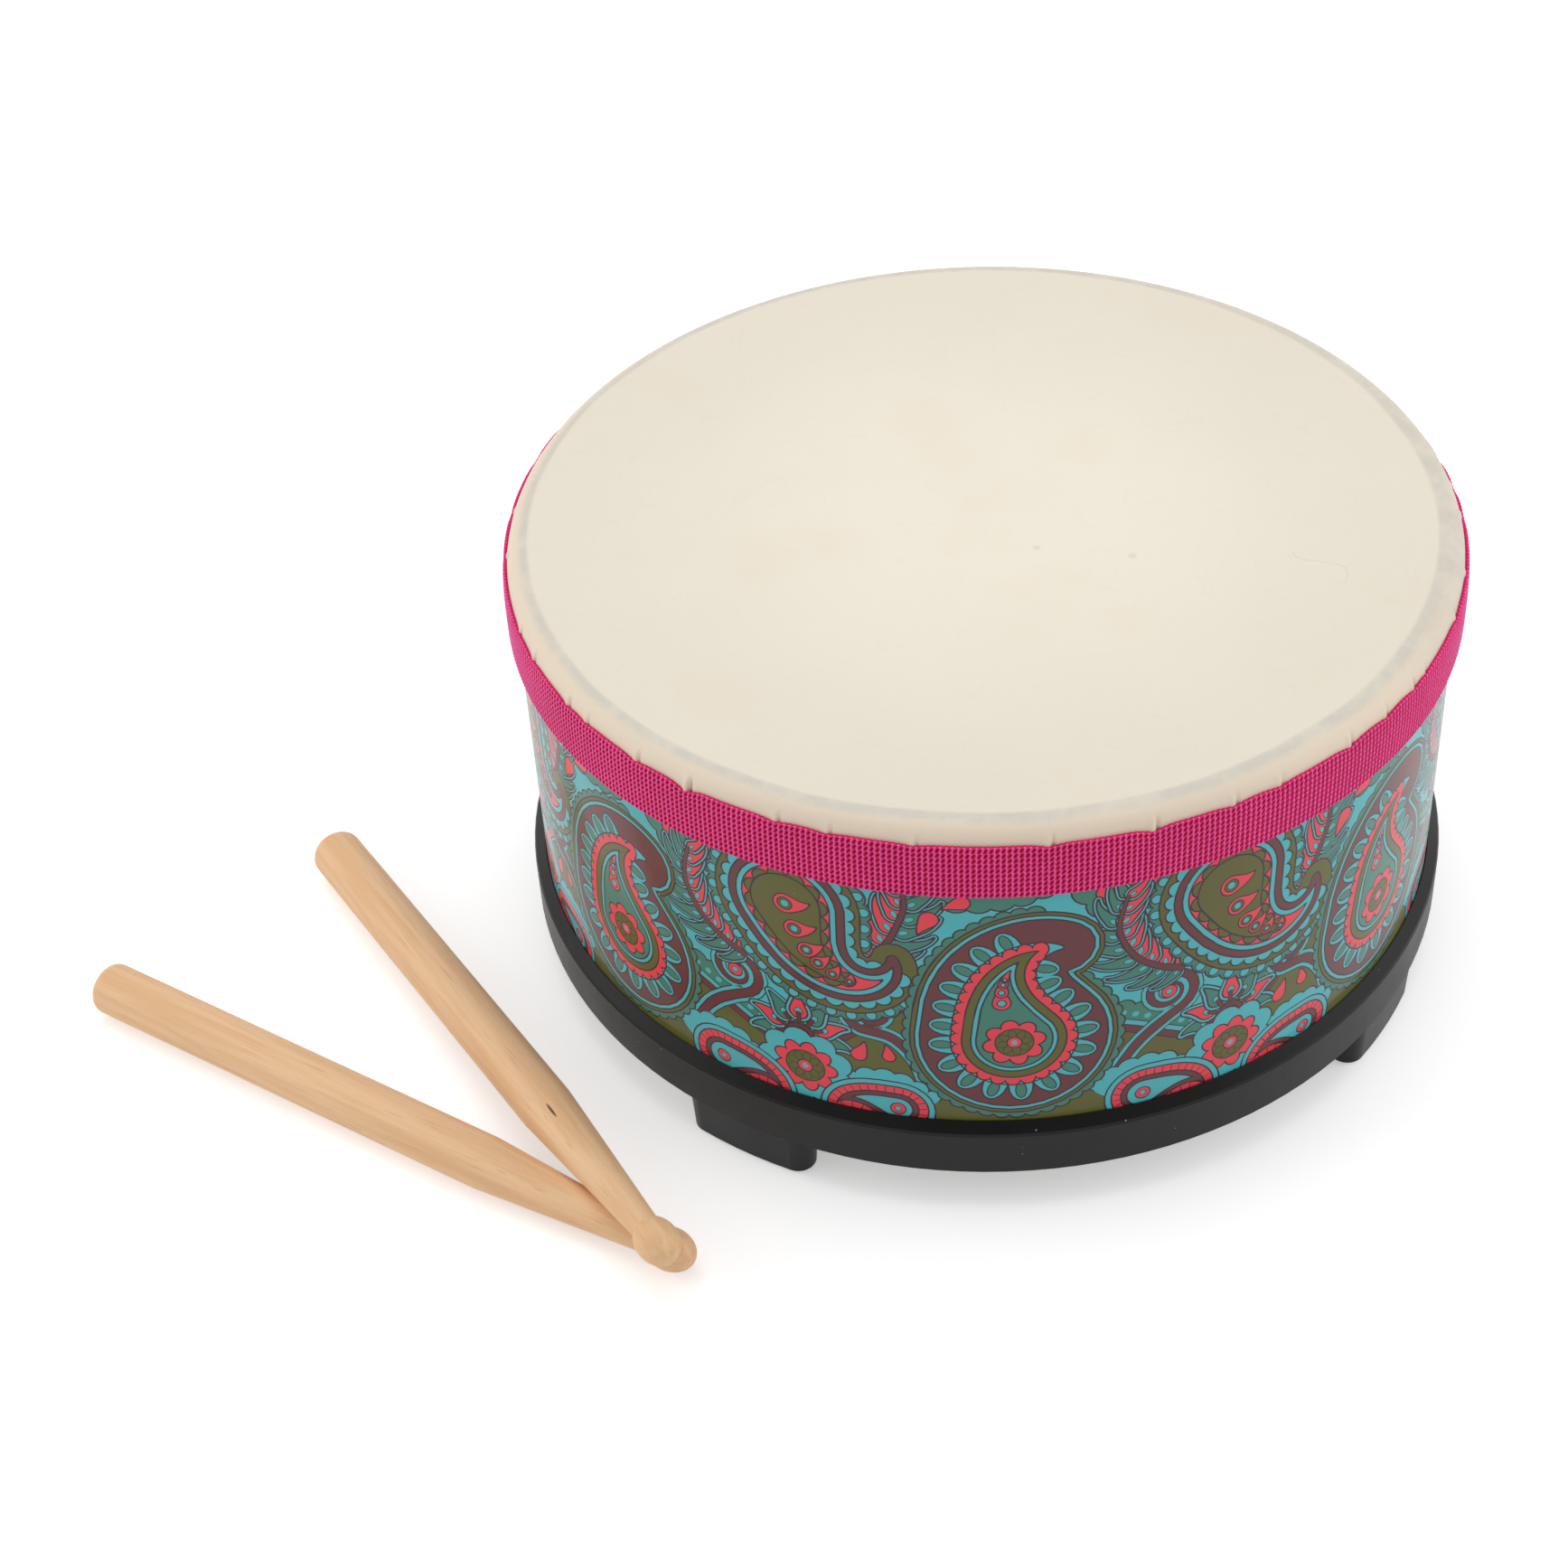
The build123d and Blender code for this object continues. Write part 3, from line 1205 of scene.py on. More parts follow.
@dataclass
class EdgeWebbing:
    """The woven tape round the rim: ribs up and down it, rows of holes, ends meeting behind.

    Sizes are in millimetres and bearings in degrees. The dip, lean and tooth powers say how near
    to the top edge those keep, and the rib power how narrow a rib is.
    """

    pleats: RimPleats
    ribs: int = 564
    rib_steps: int = 4
    rib_power: float = 1.3
    rows: int = 10
    row_steps: int = 3
    back_steps: int = 3
    rung_lean: float = 0.18
    rung_height: float = 0.22
    rung_share: float = 0.72
    selvedge_rows: float = 0.4
    selvedge_heights: Point = (0.2, 0.5)
    back_height: float = 0.5
    thickness: float = 1.5
    weave_depth: float = 0.5
    dip_depth: float = 1.1
    dip_power: int = 3
    top_lean: float = 0.5
    lean_power: int = 5
    tooth: float = 0.2
    tooth_power: int = 8
    slack_bearing: float = 30.0
    slack_width: float = 28.0
    slack_depth: float = 0.9
    end_gap: float = 0.6
    weld: float = 0.001
    join_bearing: float = 90.0
    sharp_angle: float = 70.0
    finish: WebbingFinish = field(default_factory=WebbingFinish)

    def __post_init__(self) -> None:
        """Reads the tape's place from its CAD solid."""
        low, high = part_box("edge_webbing")
        self.radius = high.x / MM
        self.top = high.z / MM
        self.bottom = low.z / MM

    def weave(self, columns: np.ndarray, rows: np.ndarray) -> np.ndarray:
        """The height of the weave, 0 in a hole and 1 on a strand.

        Args:
            columns: The place round the tape, one per rib.
            rows: The place up the tape, one per row of holes.

        Returns:
            The height at each place.
        """
        rib = (0.5 + 0.5 * np.cos(TURN * columns)) ** self.rib_power
        rung = 0.5 + 0.5 * np.cos(TURN * (rows + self.rung_lean * np.sin(TURN * columns)))
        twist = 1 - self.rung_height + self.rung_height * rung
        woven = twist * (1 - (1 - rib) * (1 - self.rung_share * rung))
        near_edge = np.clip(1 - np.minimum(rows, self.rows - rows) / self.selvedge_rows, 0, 1)
        low, swing = self.selvedge_heights
        return np.maximum(woven, (low + swing * rib) * near_edge)

    def roll(self, tape: bpy.types.Object, across: int) -> None:
        """Rolls a flat grid into the tape: woven outside, an edge, a plain back and an edge again.

        Args:
            tape: The grid, one unit long and wide about the origin.
            across: How many of its steps up make the woven face.
        """
        flat = corner_places(tape)
        way_round = flat[:, 0] + 0.5
        step = np.rint((flat[:, 1] + 0.5) * (across + self.back_steps)).astype(int)
        share = np.array([*(np.arange(across + 1) / across), 1.0, 0.0, 0.0])[step]
        behind = (step > across) & (step < across + self.back_steps)
        columns = way_round * self.ribs
        height = np.where(behind, self.back_height, self.weave(columns, share * self.rows))
        gap = self.end_gap / self.radius
        angles = radians(self.join_bearing) + gap / 2 + (TURN - gap) * way_round
        slack = bell(np.degrees(turn_apart(angles, self.slack_bearing)), self.slack_width)
        dip = self.dip_depth * self.pleats.dip(angles) + self.slack_depth * slack
        teeth = self.tooth * (0.5 - 0.5 * np.cos(TURN * columns))
        drawn_down = dip * share**self.dip_power + teeth * share**self.tooth_power
        lift = (self.top - self.bottom) * share - drawn_down
        outer = self.radius - self.weave_depth * (1 - height) - self.top_lean * share**self.lean_power
        radius = np.where(behind, self.radius - self.thickness, outer)
        rolled = (radius * np.cos(angles), radius * np.sin(angles), self.bottom + lift)
        move_corners(tape, np.stack(rolled, -1) * MM)
        layer = tape.data.attributes.new(self.finish.weave_layer, "FLOAT", "POINT")
        layer.data.foreach_set("value", height.astype(np.float32))

    def build(self) -> bpy.types.Object:
        """Makes the woven tape and dresses it.

        Returns:
            The finished piece.
        """
        across = self.rows * self.row_steps
        tape = fresh_piece(
            "woven_edge_webbing",
            bpy.ops.mesh.primitive_grid_add,
            x_subdivisions=self.ribs * self.rib_steps,
            y_subdivisions=across + self.back_steps,
            size=1.0,
        )
        self.roll(tape, across)
        with edit_mode(tape):
            bpy.ops.mesh.select_all(action="SELECT")
            bpy.ops.mesh.remove_doubles(threshold=self.weld * MM)
            bpy.ops.mesh.select_all(action="DESELECT")
            bpy.ops.mesh.select_non_manifold()
            bpy.ops.mesh.fill_holes(sides=0)
        smooth(tape, self.sharp_angle)
        set_only(tape, self.finish.material())
        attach(tape, "drum")
        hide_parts("edge_webbing")
        return tape


# ---------------------------------------------------------------- print


class Ink(Enum):
    """The film's printing inks."""

    TEAL = colour(80, 184, 192)
    CORAL = colour(238, 68, 82)
    OLIVE = colour(98, 98, 44)
    MAROON = colour(108, 56, 58)
    PINE = colour(68, 130, 114)
    LINE = colour(62, 42, 52)
    PAPER = colour(222, 220, 212)


def ellipse(centre: Point, radii: Point, turn: float = 0.0, count: int = 16) -> list[Point]:
    """Points round an ellipse.

    Args:
        centre: Its middle.
        radii: Its two radii.
        turn: How far the first radius is turned, in radians.
        count: How many points.

    Returns:
        The points.
    """
    across, up = cos(turn), sin(turn)
    found = []
    for step in range(count):
        x = radii[0] * cos(TURN * step / count)
        y = radii[1] * sin(TURN * step / count)
        found.append((centre[0] + x * across - y * up, centre[1] + x * up + y * across))
    return found


def beyond(foot: Point, reach: float, heading: float) -> Point:
    """The point this far from another, in a direction in radians."""
    return (foot[0] + reach * cos(heading), foot[1] + reach * sin(heading))


def walk(path: Sequence[Point], pace: float, start: float = 0.0) -> list[Place]:
    """Evenly spaced places along a path.

    Args:
        path: The path's points.
        pace: How far apart the places are.
        start: How far along the first is.

    Returns:
        Each place and the path's direction there, in radians.
    """
    found, ahead = [], start
    for (x0, y0), (x1, y1) in zip(path, path[1:]):
        length, heading = hypot(x1 - x0, y1 - y0), atan2(y1 - y0, x1 - x0)
        while ahead <= length:
            share = ahead / length if length else 0.0
            found.append((x0 + (x1 - x0) * share, y0 + (y1 - y0) * share, heading))
            ahead += pace
        ahead -= length
    return found


def curve_value(before: float, start: float, end: float, after: float, share: float) -> float:
    """One coordinate of a smooth curve through four points, between the middle two.

    Args:
        before: The coordinate at the first point.
        start: The coordinate at the second point, where the share is 0.
        end: The coordinate at the third point, where the share is 1.
        after: The coordinate at the fourth point.
        share: How far along it is.

    Returns:
        The coordinate there.
    """
    slope = end - before
    bow = 2 * before - 5 * start + 4 * end - after
    swing = 3 * start - before - 3 * end + after
    return 0.5 * (2 * start + slope * share + bow * share**2 + swing * share**3)


def smooth_path(points: Sequence[Point], count: int = 12) -> list[Point]:
    """A smooth curve through points.

    Args:
        points: The points it passes through.
        count: How many steps it takes between two of them.

    Returns:
        The curve's points.
    """
    held = [points[0], *points, points[-1]]
    found = []
    for four in zip(held, held[1:], held[2:], held[3:]):
        for step in range(count):
            found.append(tuple(curve_value(*values, step / count) for values in zip(*four)))
    return [*found, points[-1]]


@dataclass(frozen=True)
class Boteh:
    """A paisley drop: a round body whose spine bends as it narrows to a tip.

    Sizes are in millimetres, and the heading and the bend of its spine in degrees.
    """

    x: float
    y: float
    radius: float
    heading: float
    length: float
    bend: float
    count: int = 36
    widest_opening: float = 0.97
    least_discs: int = 4
    least_round_steps: int = 8
    tip_shares: tuple[float, ...] = (-0.67, -0.33, 0.0, 0.33, 0.67)

    def spine(self, inset: float) -> list[tuple[float, float, float, float]]:
        """The discs that the drop is the outline of, shrunk by an inset.

        Args:
            inset: How much smaller each disc's radius is.

        Returns:
            Each disc's centre, the spine's direction there and its radius.
        """
        x, y, heading = self.x, self.y, radians(self.heading)
        pace = self.length / self.count
        discs = []
        for step in range(self.count + 1):
            left = self.radius * (1 - step / self.count) - inset
            if left <= 0:
                break
            discs.append((x, y, heading, left))
            turn = radians(self.bend) * ((step + 1) ** 2 - step**2) / self.count**2
            heading += turn / 2
            x += pace * cos(heading)
            y += pace * sin(heading)
            heading += turn / 2
        return discs

    def outline(self, inset: float = 0.0) -> list[Point]:
        """The drop's outline, shrunk by an inset or grown by a negative one.

        Args:
            inset: How far inside the drop's edge it runs.

        Returns:
            Its points, or none where nothing is left.
        """
        discs = self.spine(inset)
        if len(discs) < self.least_discs:
            return []
        touch = acos(min(self.widest_opening, self.radius / self.length))
        left = [beyond((x, y), radius, heading + touch) for x, y, heading, radius in discs]
        right = [beyond((x, y), radius, heading - touch) for x, y, heading, radius in discs]
        x, y, heading, radius = discs[0]
        round_steps = max(self.least_round_steps, self.count // 2)
        swing = (TURN - 2 * touch) / round_steps
        body = [beyond((x, y), radius, heading + touch + swing * step) for step in range(1, round_steps)]
        x, y, heading, radius = discs[-1]
        tip = [beyond((x, y), radius, heading + touch * share) for share in self.tip_shares]
        return left[::-1] + body + right + (tip if inset < 0 else [])


@dataclass(kw_only=True)
class PrintLayers:
    """The print's shapes, in millimetres, each laid over the ones before it."""

    line: float = 0.48
    shapes: list[tuple[list[Point], Ink]] = field(default_factory=list)

    def lay(self, outline: Sequence[Point], ink: Ink) -> None:
        """Lays one filled shape, its points put in order against the clock.

        Args:
            outline: The shape's points, or none for no shape.
            ink: Its ink.
        """
        pairs = zip(outline, [*outline[1:], *outline[:1]])
        turned = sum(x0 * y1 - x1 * y0 for (x0, y0), (x1, y1) in pairs)
        if len(outline) > 2:
            self.shapes.append((list(outline) if turned > 0 else list(outline)[::-1], ink))

    def lay_row(
        self, make: Callable[..., list[Point]], places: Sequence[tuple[float, ...]], ink: Ink
    ) -> None:
        """Lays one shape at each place, the lines of all of them first.

        Args:
            make: Gives the outline from how far it is grown, and a place.
            places: The places.
            ink: The shapes' ink.
        """
        for place in places:
            self.lay(make(self.line, *place), Ink.LINE)
        for place in places:
            self.lay(make(0.0, *place), ink)

    def oval(
        self, centre: Point, radii: Point, ink: Ink, turn: float = 0.0, line: float = 0.36, count: int = 14
    ) -> None:
        """Lays an oval with a line round it.

        Args:
            centre: Its middle.
            radii: Its two radii.
            ink: Its ink.
            turn: How far it is turned, in radians.
            line: The line's thickness, or 0 for none.
            count: How many points it has.
        """
        if line:
            self.lay(ellipse(centre, (radii[0] + line, radii[1] + line), turn, count), Ink.LINE)
        self.lay(ellipse(centre, radii, turn, count), ink)

    def drop(self, drop: Boteh, ink: Ink, line: float = 0.42) -> None:
        """Lays a paisley drop with a line round it."""
        self.lay(drop.outline(-line), Ink.LINE)
        self.lay(drop.outline(), ink)

    def bands(self, drop: Boteh, layers: Sequence[tuple[float, Ink]]) -> None:
        """Lays nested bands that follow a drop's edge, each with a line round it.

        Args:
            drop: The drop.
            layers: Each band's inset and ink, the outermost first.
        """
        for inset, ink in layers:
            self.lay(drop.outline(inset - self.line), Ink.LINE)
            self.lay(drop.outline(inset), ink)

    def ribbon(
        self, path: Sequence[Point], width: Callable[[float], float], ink: Ink, line: float = 0.0
    ) -> None:
        """Lays a ribbon along a path.

        Args:
            path: The path's points.
            width: Gives the ribbon's width at a share of the path.
            ink: Its ink.
            line: The thickness of the line round it, or 0 for none.
        """
        last = len(path) - 1
        for grow, shade in ((line, Ink.LINE), (0.0, ink)) if line else ((0.0, ink),):
            left, right = [], []
            for step, (x, y) in enumerate(path):
                (x0, y0), (x1, y1) = path[max(step - 1, 0)], path[min(step + 1, last)]
                heading = atan2(y1 - y0, x1 - x0)
                half = width(step / last) / 2 + grow
                left.append(beyond((x, y), half, heading + pi / 2))
                right.append(beyond((x, y), half, heading - pi / 2))
            self.lay(left + right[::-1], shade)

    def rosette(self, centre: Point, radius: float, petals: int, tilt: float = 0.0) -> None:
        """Lays a round flower: coral petals, a lobed olive middle and a small eye.

        Args:
            centre: Its middle.
            radius: Its radius.
            petals: How many petals.
            tilt: How far it is turned, in radians.
        """
        petal_way, overlap = 0.66, 1.02
        wide = petal_way * radius * tan(pi / petals) * overlap
        turns = [(tilt + TURN * petal / petals,) for petal in range(petals)]

        def petal(grow: float, turn: float) -> list[Point]:
            """One petal's outline."""
            middle = beyond(centre, petal_way * radius, turn)
            return ellipse(middle, ((1 - petal_way) * radius + grow, wide + grow), turn)

        self.lay_row(petal, turns, Ink.CORAL)
        self.oval(centre, (0.6 * radius, 0.6 * radius), Ink.OLIVE, count=24)
        for (turn,) in turns:
            lobe = beyond(centre, 0.37 * radius, turn)
            self.oval(lobe, (0.19 * radius, 0.12 * radius), Ink.OLIVE, turn, line=0.2, count=12)
        self.oval(centre, (0.22 * radius, 0.22 * radius), Ink.CORAL)
        self.oval(centre, (0.1 * radius, 0.1 * radius), Ink.TEAL, line=0.0)


@dataclass
class PaisleyPrint(PrintLayers):
    """One repeat of the print: a tall paisley, a hanging one, flowers, sprays and a wavy ground.

    Sizes and places are in millimetres, up from the floor. The ground's crest is a level and two
    waves, each with its height and its start in radians.
    """

    width: float
    low: float
    crest_level: float = 60.0
    crest_waves: tuple[Point, ...] = ((11.0, 0.4), (3.5, 1.0))
    crest_steps: int = 60
    border: tuple[tuple[float, Ink], ...] = (
        (9.0, Ink.PINE),
        (4.9, Ink.LINE),
        (4.55, Ink.TEAL),
        (3.0, Ink.LINE),
        (2.65, Ink.MAROON),
        (0.36, Ink.LINE),
        (0.0, Ink.OLIVE),
    )
    lobe_up: float = 8.6
    lobe_radius: float = 2.6
    lobe_pace: float = 4.4
    bead_up: float = 6.9
    bead_radius: float = 0.95
    bead_pace: float = 3.6

    def crest(self) -> list[Point]:
        """The wavy line that the ground's border follows.

        Returns:
            The line's points, across the whole repeat.
        """
        found = []
        for step in range(self.crest_steps + 1):
            turn = TURN * step / self.crest_steps
            height = self.crest_level
            for times, (swing, start) in enumerate(self.crest_waves, 1):
                height += swing * sin(times * turn + start)
            found.append((self.width * step / self.crest_steps, height))
        return found

    def ground(self) -> None:
        """Lays the wavy olive ground with its teal and maroon border."""
        crest = self.crest()

        def lobe(grow: float, x: float, y: float, heading: float) -> list[Point]:
            """One lobe of the ground's scalloped edge."""
            radius = self.lobe_radius + grow
            return ellipse((x, y + self.lobe_up), (radius, radius), heading)

        self.lay_row(lobe, walk(crest, self.lobe_pace), Ink.PINE)
        for up, ink in self.border:
            top = [(x, height + up) for x, height in crest]
            self.lay([*top, (self.width, self.low), (0.0, self.low)], ink)
        radii = (self.bead_radius, self.bead_radius)
        for x, y, _ in walk(crest, self.bead_pace):
            self.oval((x, y + self.bead_up), radii, Ink.TEAL, line=0.0, count=10)

    def fringe(
        self,
        drop: Boteh,
        out: float,
        pace: float,
        radii: Point,
        ink: Ink,
        spot: Ink | None = None,
    ) -> None:
        """Lays petals that grow out of a drop's edge.

        Args:
            drop: The drop.
            out: How far outside its edge the petals' middles are.
            pace: How far apart they are.
            radii: A petal's radii, along the edge and across it.
            ink: Their ink.
            spot: The ink of a spot in each, or none.
        """
        edge = drop.outline(-out)
        tip_x, tip_y = drop.spine(0.0)[-1][:2]
        clear = radii[1] + abs(out)
        around = walk([*edge, edge[0]], pace, 1.0)
        places = [place for place in around if hypot(place[0] - tip_x, place[1] - tip_y) > clear]

        def petal(grow: float, x: float, y: float, heading: float) -> list[Point]:
            """One petal's outline."""
            return ellipse((x, y), (radii[0] + grow, radii[1] + grow), heading)

        self.lay_row(petal, places, ink)
        if spot:
            for x, y, heading in places:
                middle = beyond((x, y), 0.32 * radii[1], heading - pi / 2)
                self.oval(middle, (0.42 * radii[0], 0.52 * radii[1]), spot, heading, count=12)

    def grand_paisley(self, x: float, y: float) -> None:
        """Lays the tall paisley: a maroon rim full of loops, beads, bands and a flower.

        Args:
            x: How far across the middle of its round body is.
            y: How far up it is.
        """
        drop = Boteh(x, y, radius=15.5, heading=108, length=41, bend=-118, count=44)
        self.fringe(drop, out=10.6, pace=3.9, radii=(2.3, 2.3), ink=Ink.PINE)
        self.bands(drop, ((-10.8, Ink.OLIVE), (-9.6, Ink.TEAL), (-8.3, Ink.MAROON)))
        self.fringe(drop, out=1.2, pace=6.6, radii=(2.95, 5.2), ink=Ink.TEAL, spot=Ink.PINE)
        self.bands(drop, ((-0.4, Ink.TEAL),))
        edge = drop.outline(1.7)

        def bead(grow: float, at_x: float, at_y: float, heading: float) -> list[Point]:
            """One bead's outline."""
            return ellipse((at_x, at_y), (1.95 + grow, 2.3 + grow), heading, 12)

        self.lay_row(bead, walk([*edge, edge[0]], 3.7, 0.6), Ink.CORAL)
        self.bands(drop, ((2.4, Ink.OLIVE), (4.7, Ink.TEAL), (6.0, Ink.PINE)))
        discs = drop.spine(6.0)
        for share in (0.58, 0.74, 0.87, 0.96):
            at_x, at_y, heading, radius = discs[int(share * (len(discs) - 1))]
            seed = Boteh(
                at_x,
                at_y,
                radius=0.45 * radius + 0.3,
                heading=degrees(heading),
                length=2.2 + radius,
                bend=-20,
                count=12,
            )
            self.drop(seed, Ink.CORAL)
            self.oval((at_x, at_y), (0.2 * radius + 0.15, 0.2 * radius + 0.15), Ink.TEAL, count=12)
        self.rosette((x, y - 0.6), radius=7.9, petals=8, tilt=0.2)

    def hanging_paisley(self, x: float, y: float) -> None:
        """Lays the smaller paisley that hangs from the top edge, with a row of eyes.

        Args:
            x: How far across the middle of its round body is.
            y: How far up it is.
        """
        drop = Boteh(x, y, radius=14.5, heading=-76, length=47, bend=176, count=40)
        self.fringe(drop, out=5.6, pace=5.2, radii=(3.1, 2.6), ink=Ink.PINE, spot=Ink.TEAL)
        self.bands(drop, ((-5.2, Ink.OLIVE),))
        self.fringe(drop, out=1.5, pace=4.4, radii=(2.25, 2.4), ink=Ink.TEAL)
        self.bands(drop, ((-1.2, Ink.MAROON), (1.0, Ink.TEAL), (2.7, Ink.CORAL)))
        self.fringe(drop, out=-5.3, pace=5.0, radii=(2.3, 2.2), ink=Ink.OLIVE)
        self.bands(drop, ((5.2, Ink.OLIVE),))
        discs = drop.spine(2.7)
        eyes = ((0.02, 3.0), (0.24, 2.7), (0.42, 2.3), (0.56, 1.9), (0.68, 1.6), (0.79, 1.2))
        for share, size in eyes:
            at_x, at_y, heading, _ = discs[int(share * (len(discs) - 1))]
            turn = degrees(heading) + 78
            eye = Boteh(at_x, at_y, size, turn, length=2.4 * size, bend=40, count=14)
            self.drop(eye, Ink.CORAL)
            self.oval((at_x, at_y), (0.62 * size, 0.62 * size), Ink.OLIVE, count=12)
            self.oval((at_x, at_y), (0.36 * size, 0.36 * size), Ink.TEAL, line=0.2, count=10)

    def low_paisley(self, drop: Boteh) -> None:
        """Lays one of the small striped paisleys along the bottom.

        Args:
            drop: Its outline.
        """
        self.bands(drop, ((-2.0, Ink.TEAL), (-0.2, Ink.CORAL)))
        edge = drop.outline()
        for x, y, heading in walk([*edge, edge[0]], 2.4, 0.5):
            inward = beyond((x, y), 2.6, heading + pi / 2)
            self.ribbon([(x, y), inward], lambda share: 0.34, Ink.MAROON)
        self.bands(drop, ((2.4, Ink.MAROON), (4.0, Ink.TEAL)))
        self.oval((drop.x, drop.y), (1.9, 1.9), Ink.CORAL)
        self.oval((drop.x, drop.y), (0.8, 0.8), Ink.TEAL, line=0.2, count=10)

    def frond(self, path: Sequence[Point], size: float, inks: tuple[Ink, Ink]) -> None:
        """Lays a feathery frond: slender leaflets on each side of a stem, longest in the middle.

        Args:
            path: The points that the stem passes through.
            size: The longest leaflets' length.
            inks: The inks of the leaflets on the left and on the right.
        """
        stem = smooth_path(path)
        places = walk(stem, 0.42 * size, 0.1 * size)
        for number, (x, y, heading) in enumerate(places):
            share = number / len(places)
            grown = size * (0.4 + 0.6 * sin(pi * (0.18 + 0.75 * share)))
            for side, ink in zip((1, -1), inks):
                lean = heading + side * radians(64 - 30 * share)
                root = beyond((x, y), 0.24 * grown, lean)
                turn, length = degrees(lean), 0.95 * grown
                leaf = Boteh(*root, 0.17 * grown, turn, length, bend=-46 * side, count=14)
                self.bands(leaf, ((-0.85, Ink.TEAL), (0.0, ink)))
                self.oval(root, (0.11 * grown, 0.06 * grown), Ink.TEAL, lean, line=0.2, count=10)
        self.ribbon(stem, lambda share: 1.9 - 1.2 * share, Ink.MAROON, line=0.34)

    def palmette(self, centre: Point, size: float, facing: float, inks: tuple[Ink, Ink]) -> None:
        """Lays a fan of drops round a small half flower.

        Args:
            centre: The fan's foot.
            size: Its height.
            facing: The direction it opens in, in degrees.
            inks: The inks that the drops take in turn, from the middle out.
        """
        for place in (3, -3, 2, -2, 1, -1, 0):
            turn = facing + 30 * place
            root = beyond(centre, 0.62 * size * (1 - 0.06 * abs(place)), radians(turn))
            leaf = Boteh(*root, 0.17 * size, turn, 0.5 * size, bend=14 * place, count=16)
            self.bands(leaf, ((-1.1, Ink.TEAL), (0.0, inks[abs(place) % 2])))
            radii = (0.09 * size, 0.07 * size)
            self.oval(root, radii, Ink.TEAL, radians(turn), line=0.24, count=12)
            self.ribbon([centre, root], lambda share: 0.9, Ink.MAROON, line=0.26)
        self.oval(centre, (0.3 * size, 0.3 * size), Ink.MAROON, count=18)
        self.oval(centre, (0.19 * size, 0.19 * size), Ink.CORAL)
        self.oval(centre, (0.08 * size, 0.08 * size), Ink.TEAL, line=0.2, count=10)

    def scroll(
        self, centre: Point, radius: float, start: float, sweep: float, tail: Sequence[Point]
    ) -> None:
        """Lays a vine that comes along a tail and curls up round a coral eye.

        Args:
            centre: The middle of the curl.
            radius: The curl's outer radius.
            start: The direction from the middle in which the curl begins, in degrees.
            sweep: How far it curls, in degrees, against the clock if above 0.
            tail: The points that lead up to it.
        """
        steps = 30
        curl = []
        for step in range(steps + 1):
            share = step / steps
            curl.append(beyond(centre, radius * (1 - 0.72 * share), radians(start + sweep * share)))
        path = smooth_path([*tail, curl[0]], 10)[:-1] + curl
        for border, ink in ((2.6, Ink.TEAL), (0.0, Ink.MAROON)):

            def width(share: float) -> float:
                """The vine's width with its border, thickest near the tail."""
                return border + 0.6 + 2.0 * sin(pi * min(1.0, 0.15 + share)) ** 0.6

            self.ribbon(path, width, ink, line=0.34)
        self.oval(centre, (0.26 * radius, 0.26 * radius), Ink.CORAL, count=14)
        self.oval(centre, (0.11 * radius, 0.11 * radius), Ink.TEAL, line=0.2, count=10)

    def cloud(self, path: Sequence[Point], size: float, depth: float, ink: Ink) -> None:
        """Lays a scalloped bank of lobes along a path, thickest in the middle.

        Args:
            path: The points along its foot.
            size: The middle lobe's radius.
            depth: How far the bank reaches below its foot.
            ink: Its ink.
        """
        foot = smooth_path(path)
        places = walk(foot, 1.35 * size, 0.4 * size)

        def lobe(grow: float, x: float, y: float, heading: float, share: float) -> list[Point]:
            """One lobe's outline."""
            swell = size * (0.55 + 0.45 * sin(pi * share)) + grow
            return ellipse((x, y), (swell, swell), heading, 18)

        last = max(1, len(places) - 1)
        self.lay_row(lobe, [(*place, number / last) for number, place in enumerate(places)], ink)
        last = len(foot) - 1
        under = [(x, y - depth * sin(pi * step / last)) for step, (x, y) in enumerate(foot)]
        self.lay(foot + under[::-1], ink)

    def flower(self, centre: Point, radius: float, petals: int, halo: Ink) -> None:
        """Lays a round flower on a scalloped ground.

        Args:
            centre: Its middle.
            radius: The flower's radius.
            petals: How many petals it has.
            halo: The ground's ink.
        """

        def lobe(grow: float, turn: float) -> list[Point]:
            """One lobe of the scalloped ground."""
            middle = beyond(centre, 0.98 * radius, turn)
            return ellipse(middle, (0.42 * radius + grow, 0.42 * radius + grow), turn)

        self.lay_row(lobe, [(TURN * (step + 0.5) / petals,) for step in range(petals)], halo)
        self.oval(centre, (1.05 * radius, 1.05 * radius), halo, line=0.0, count=28)
        self.rosette(centre, 0.92 * radius, petals)

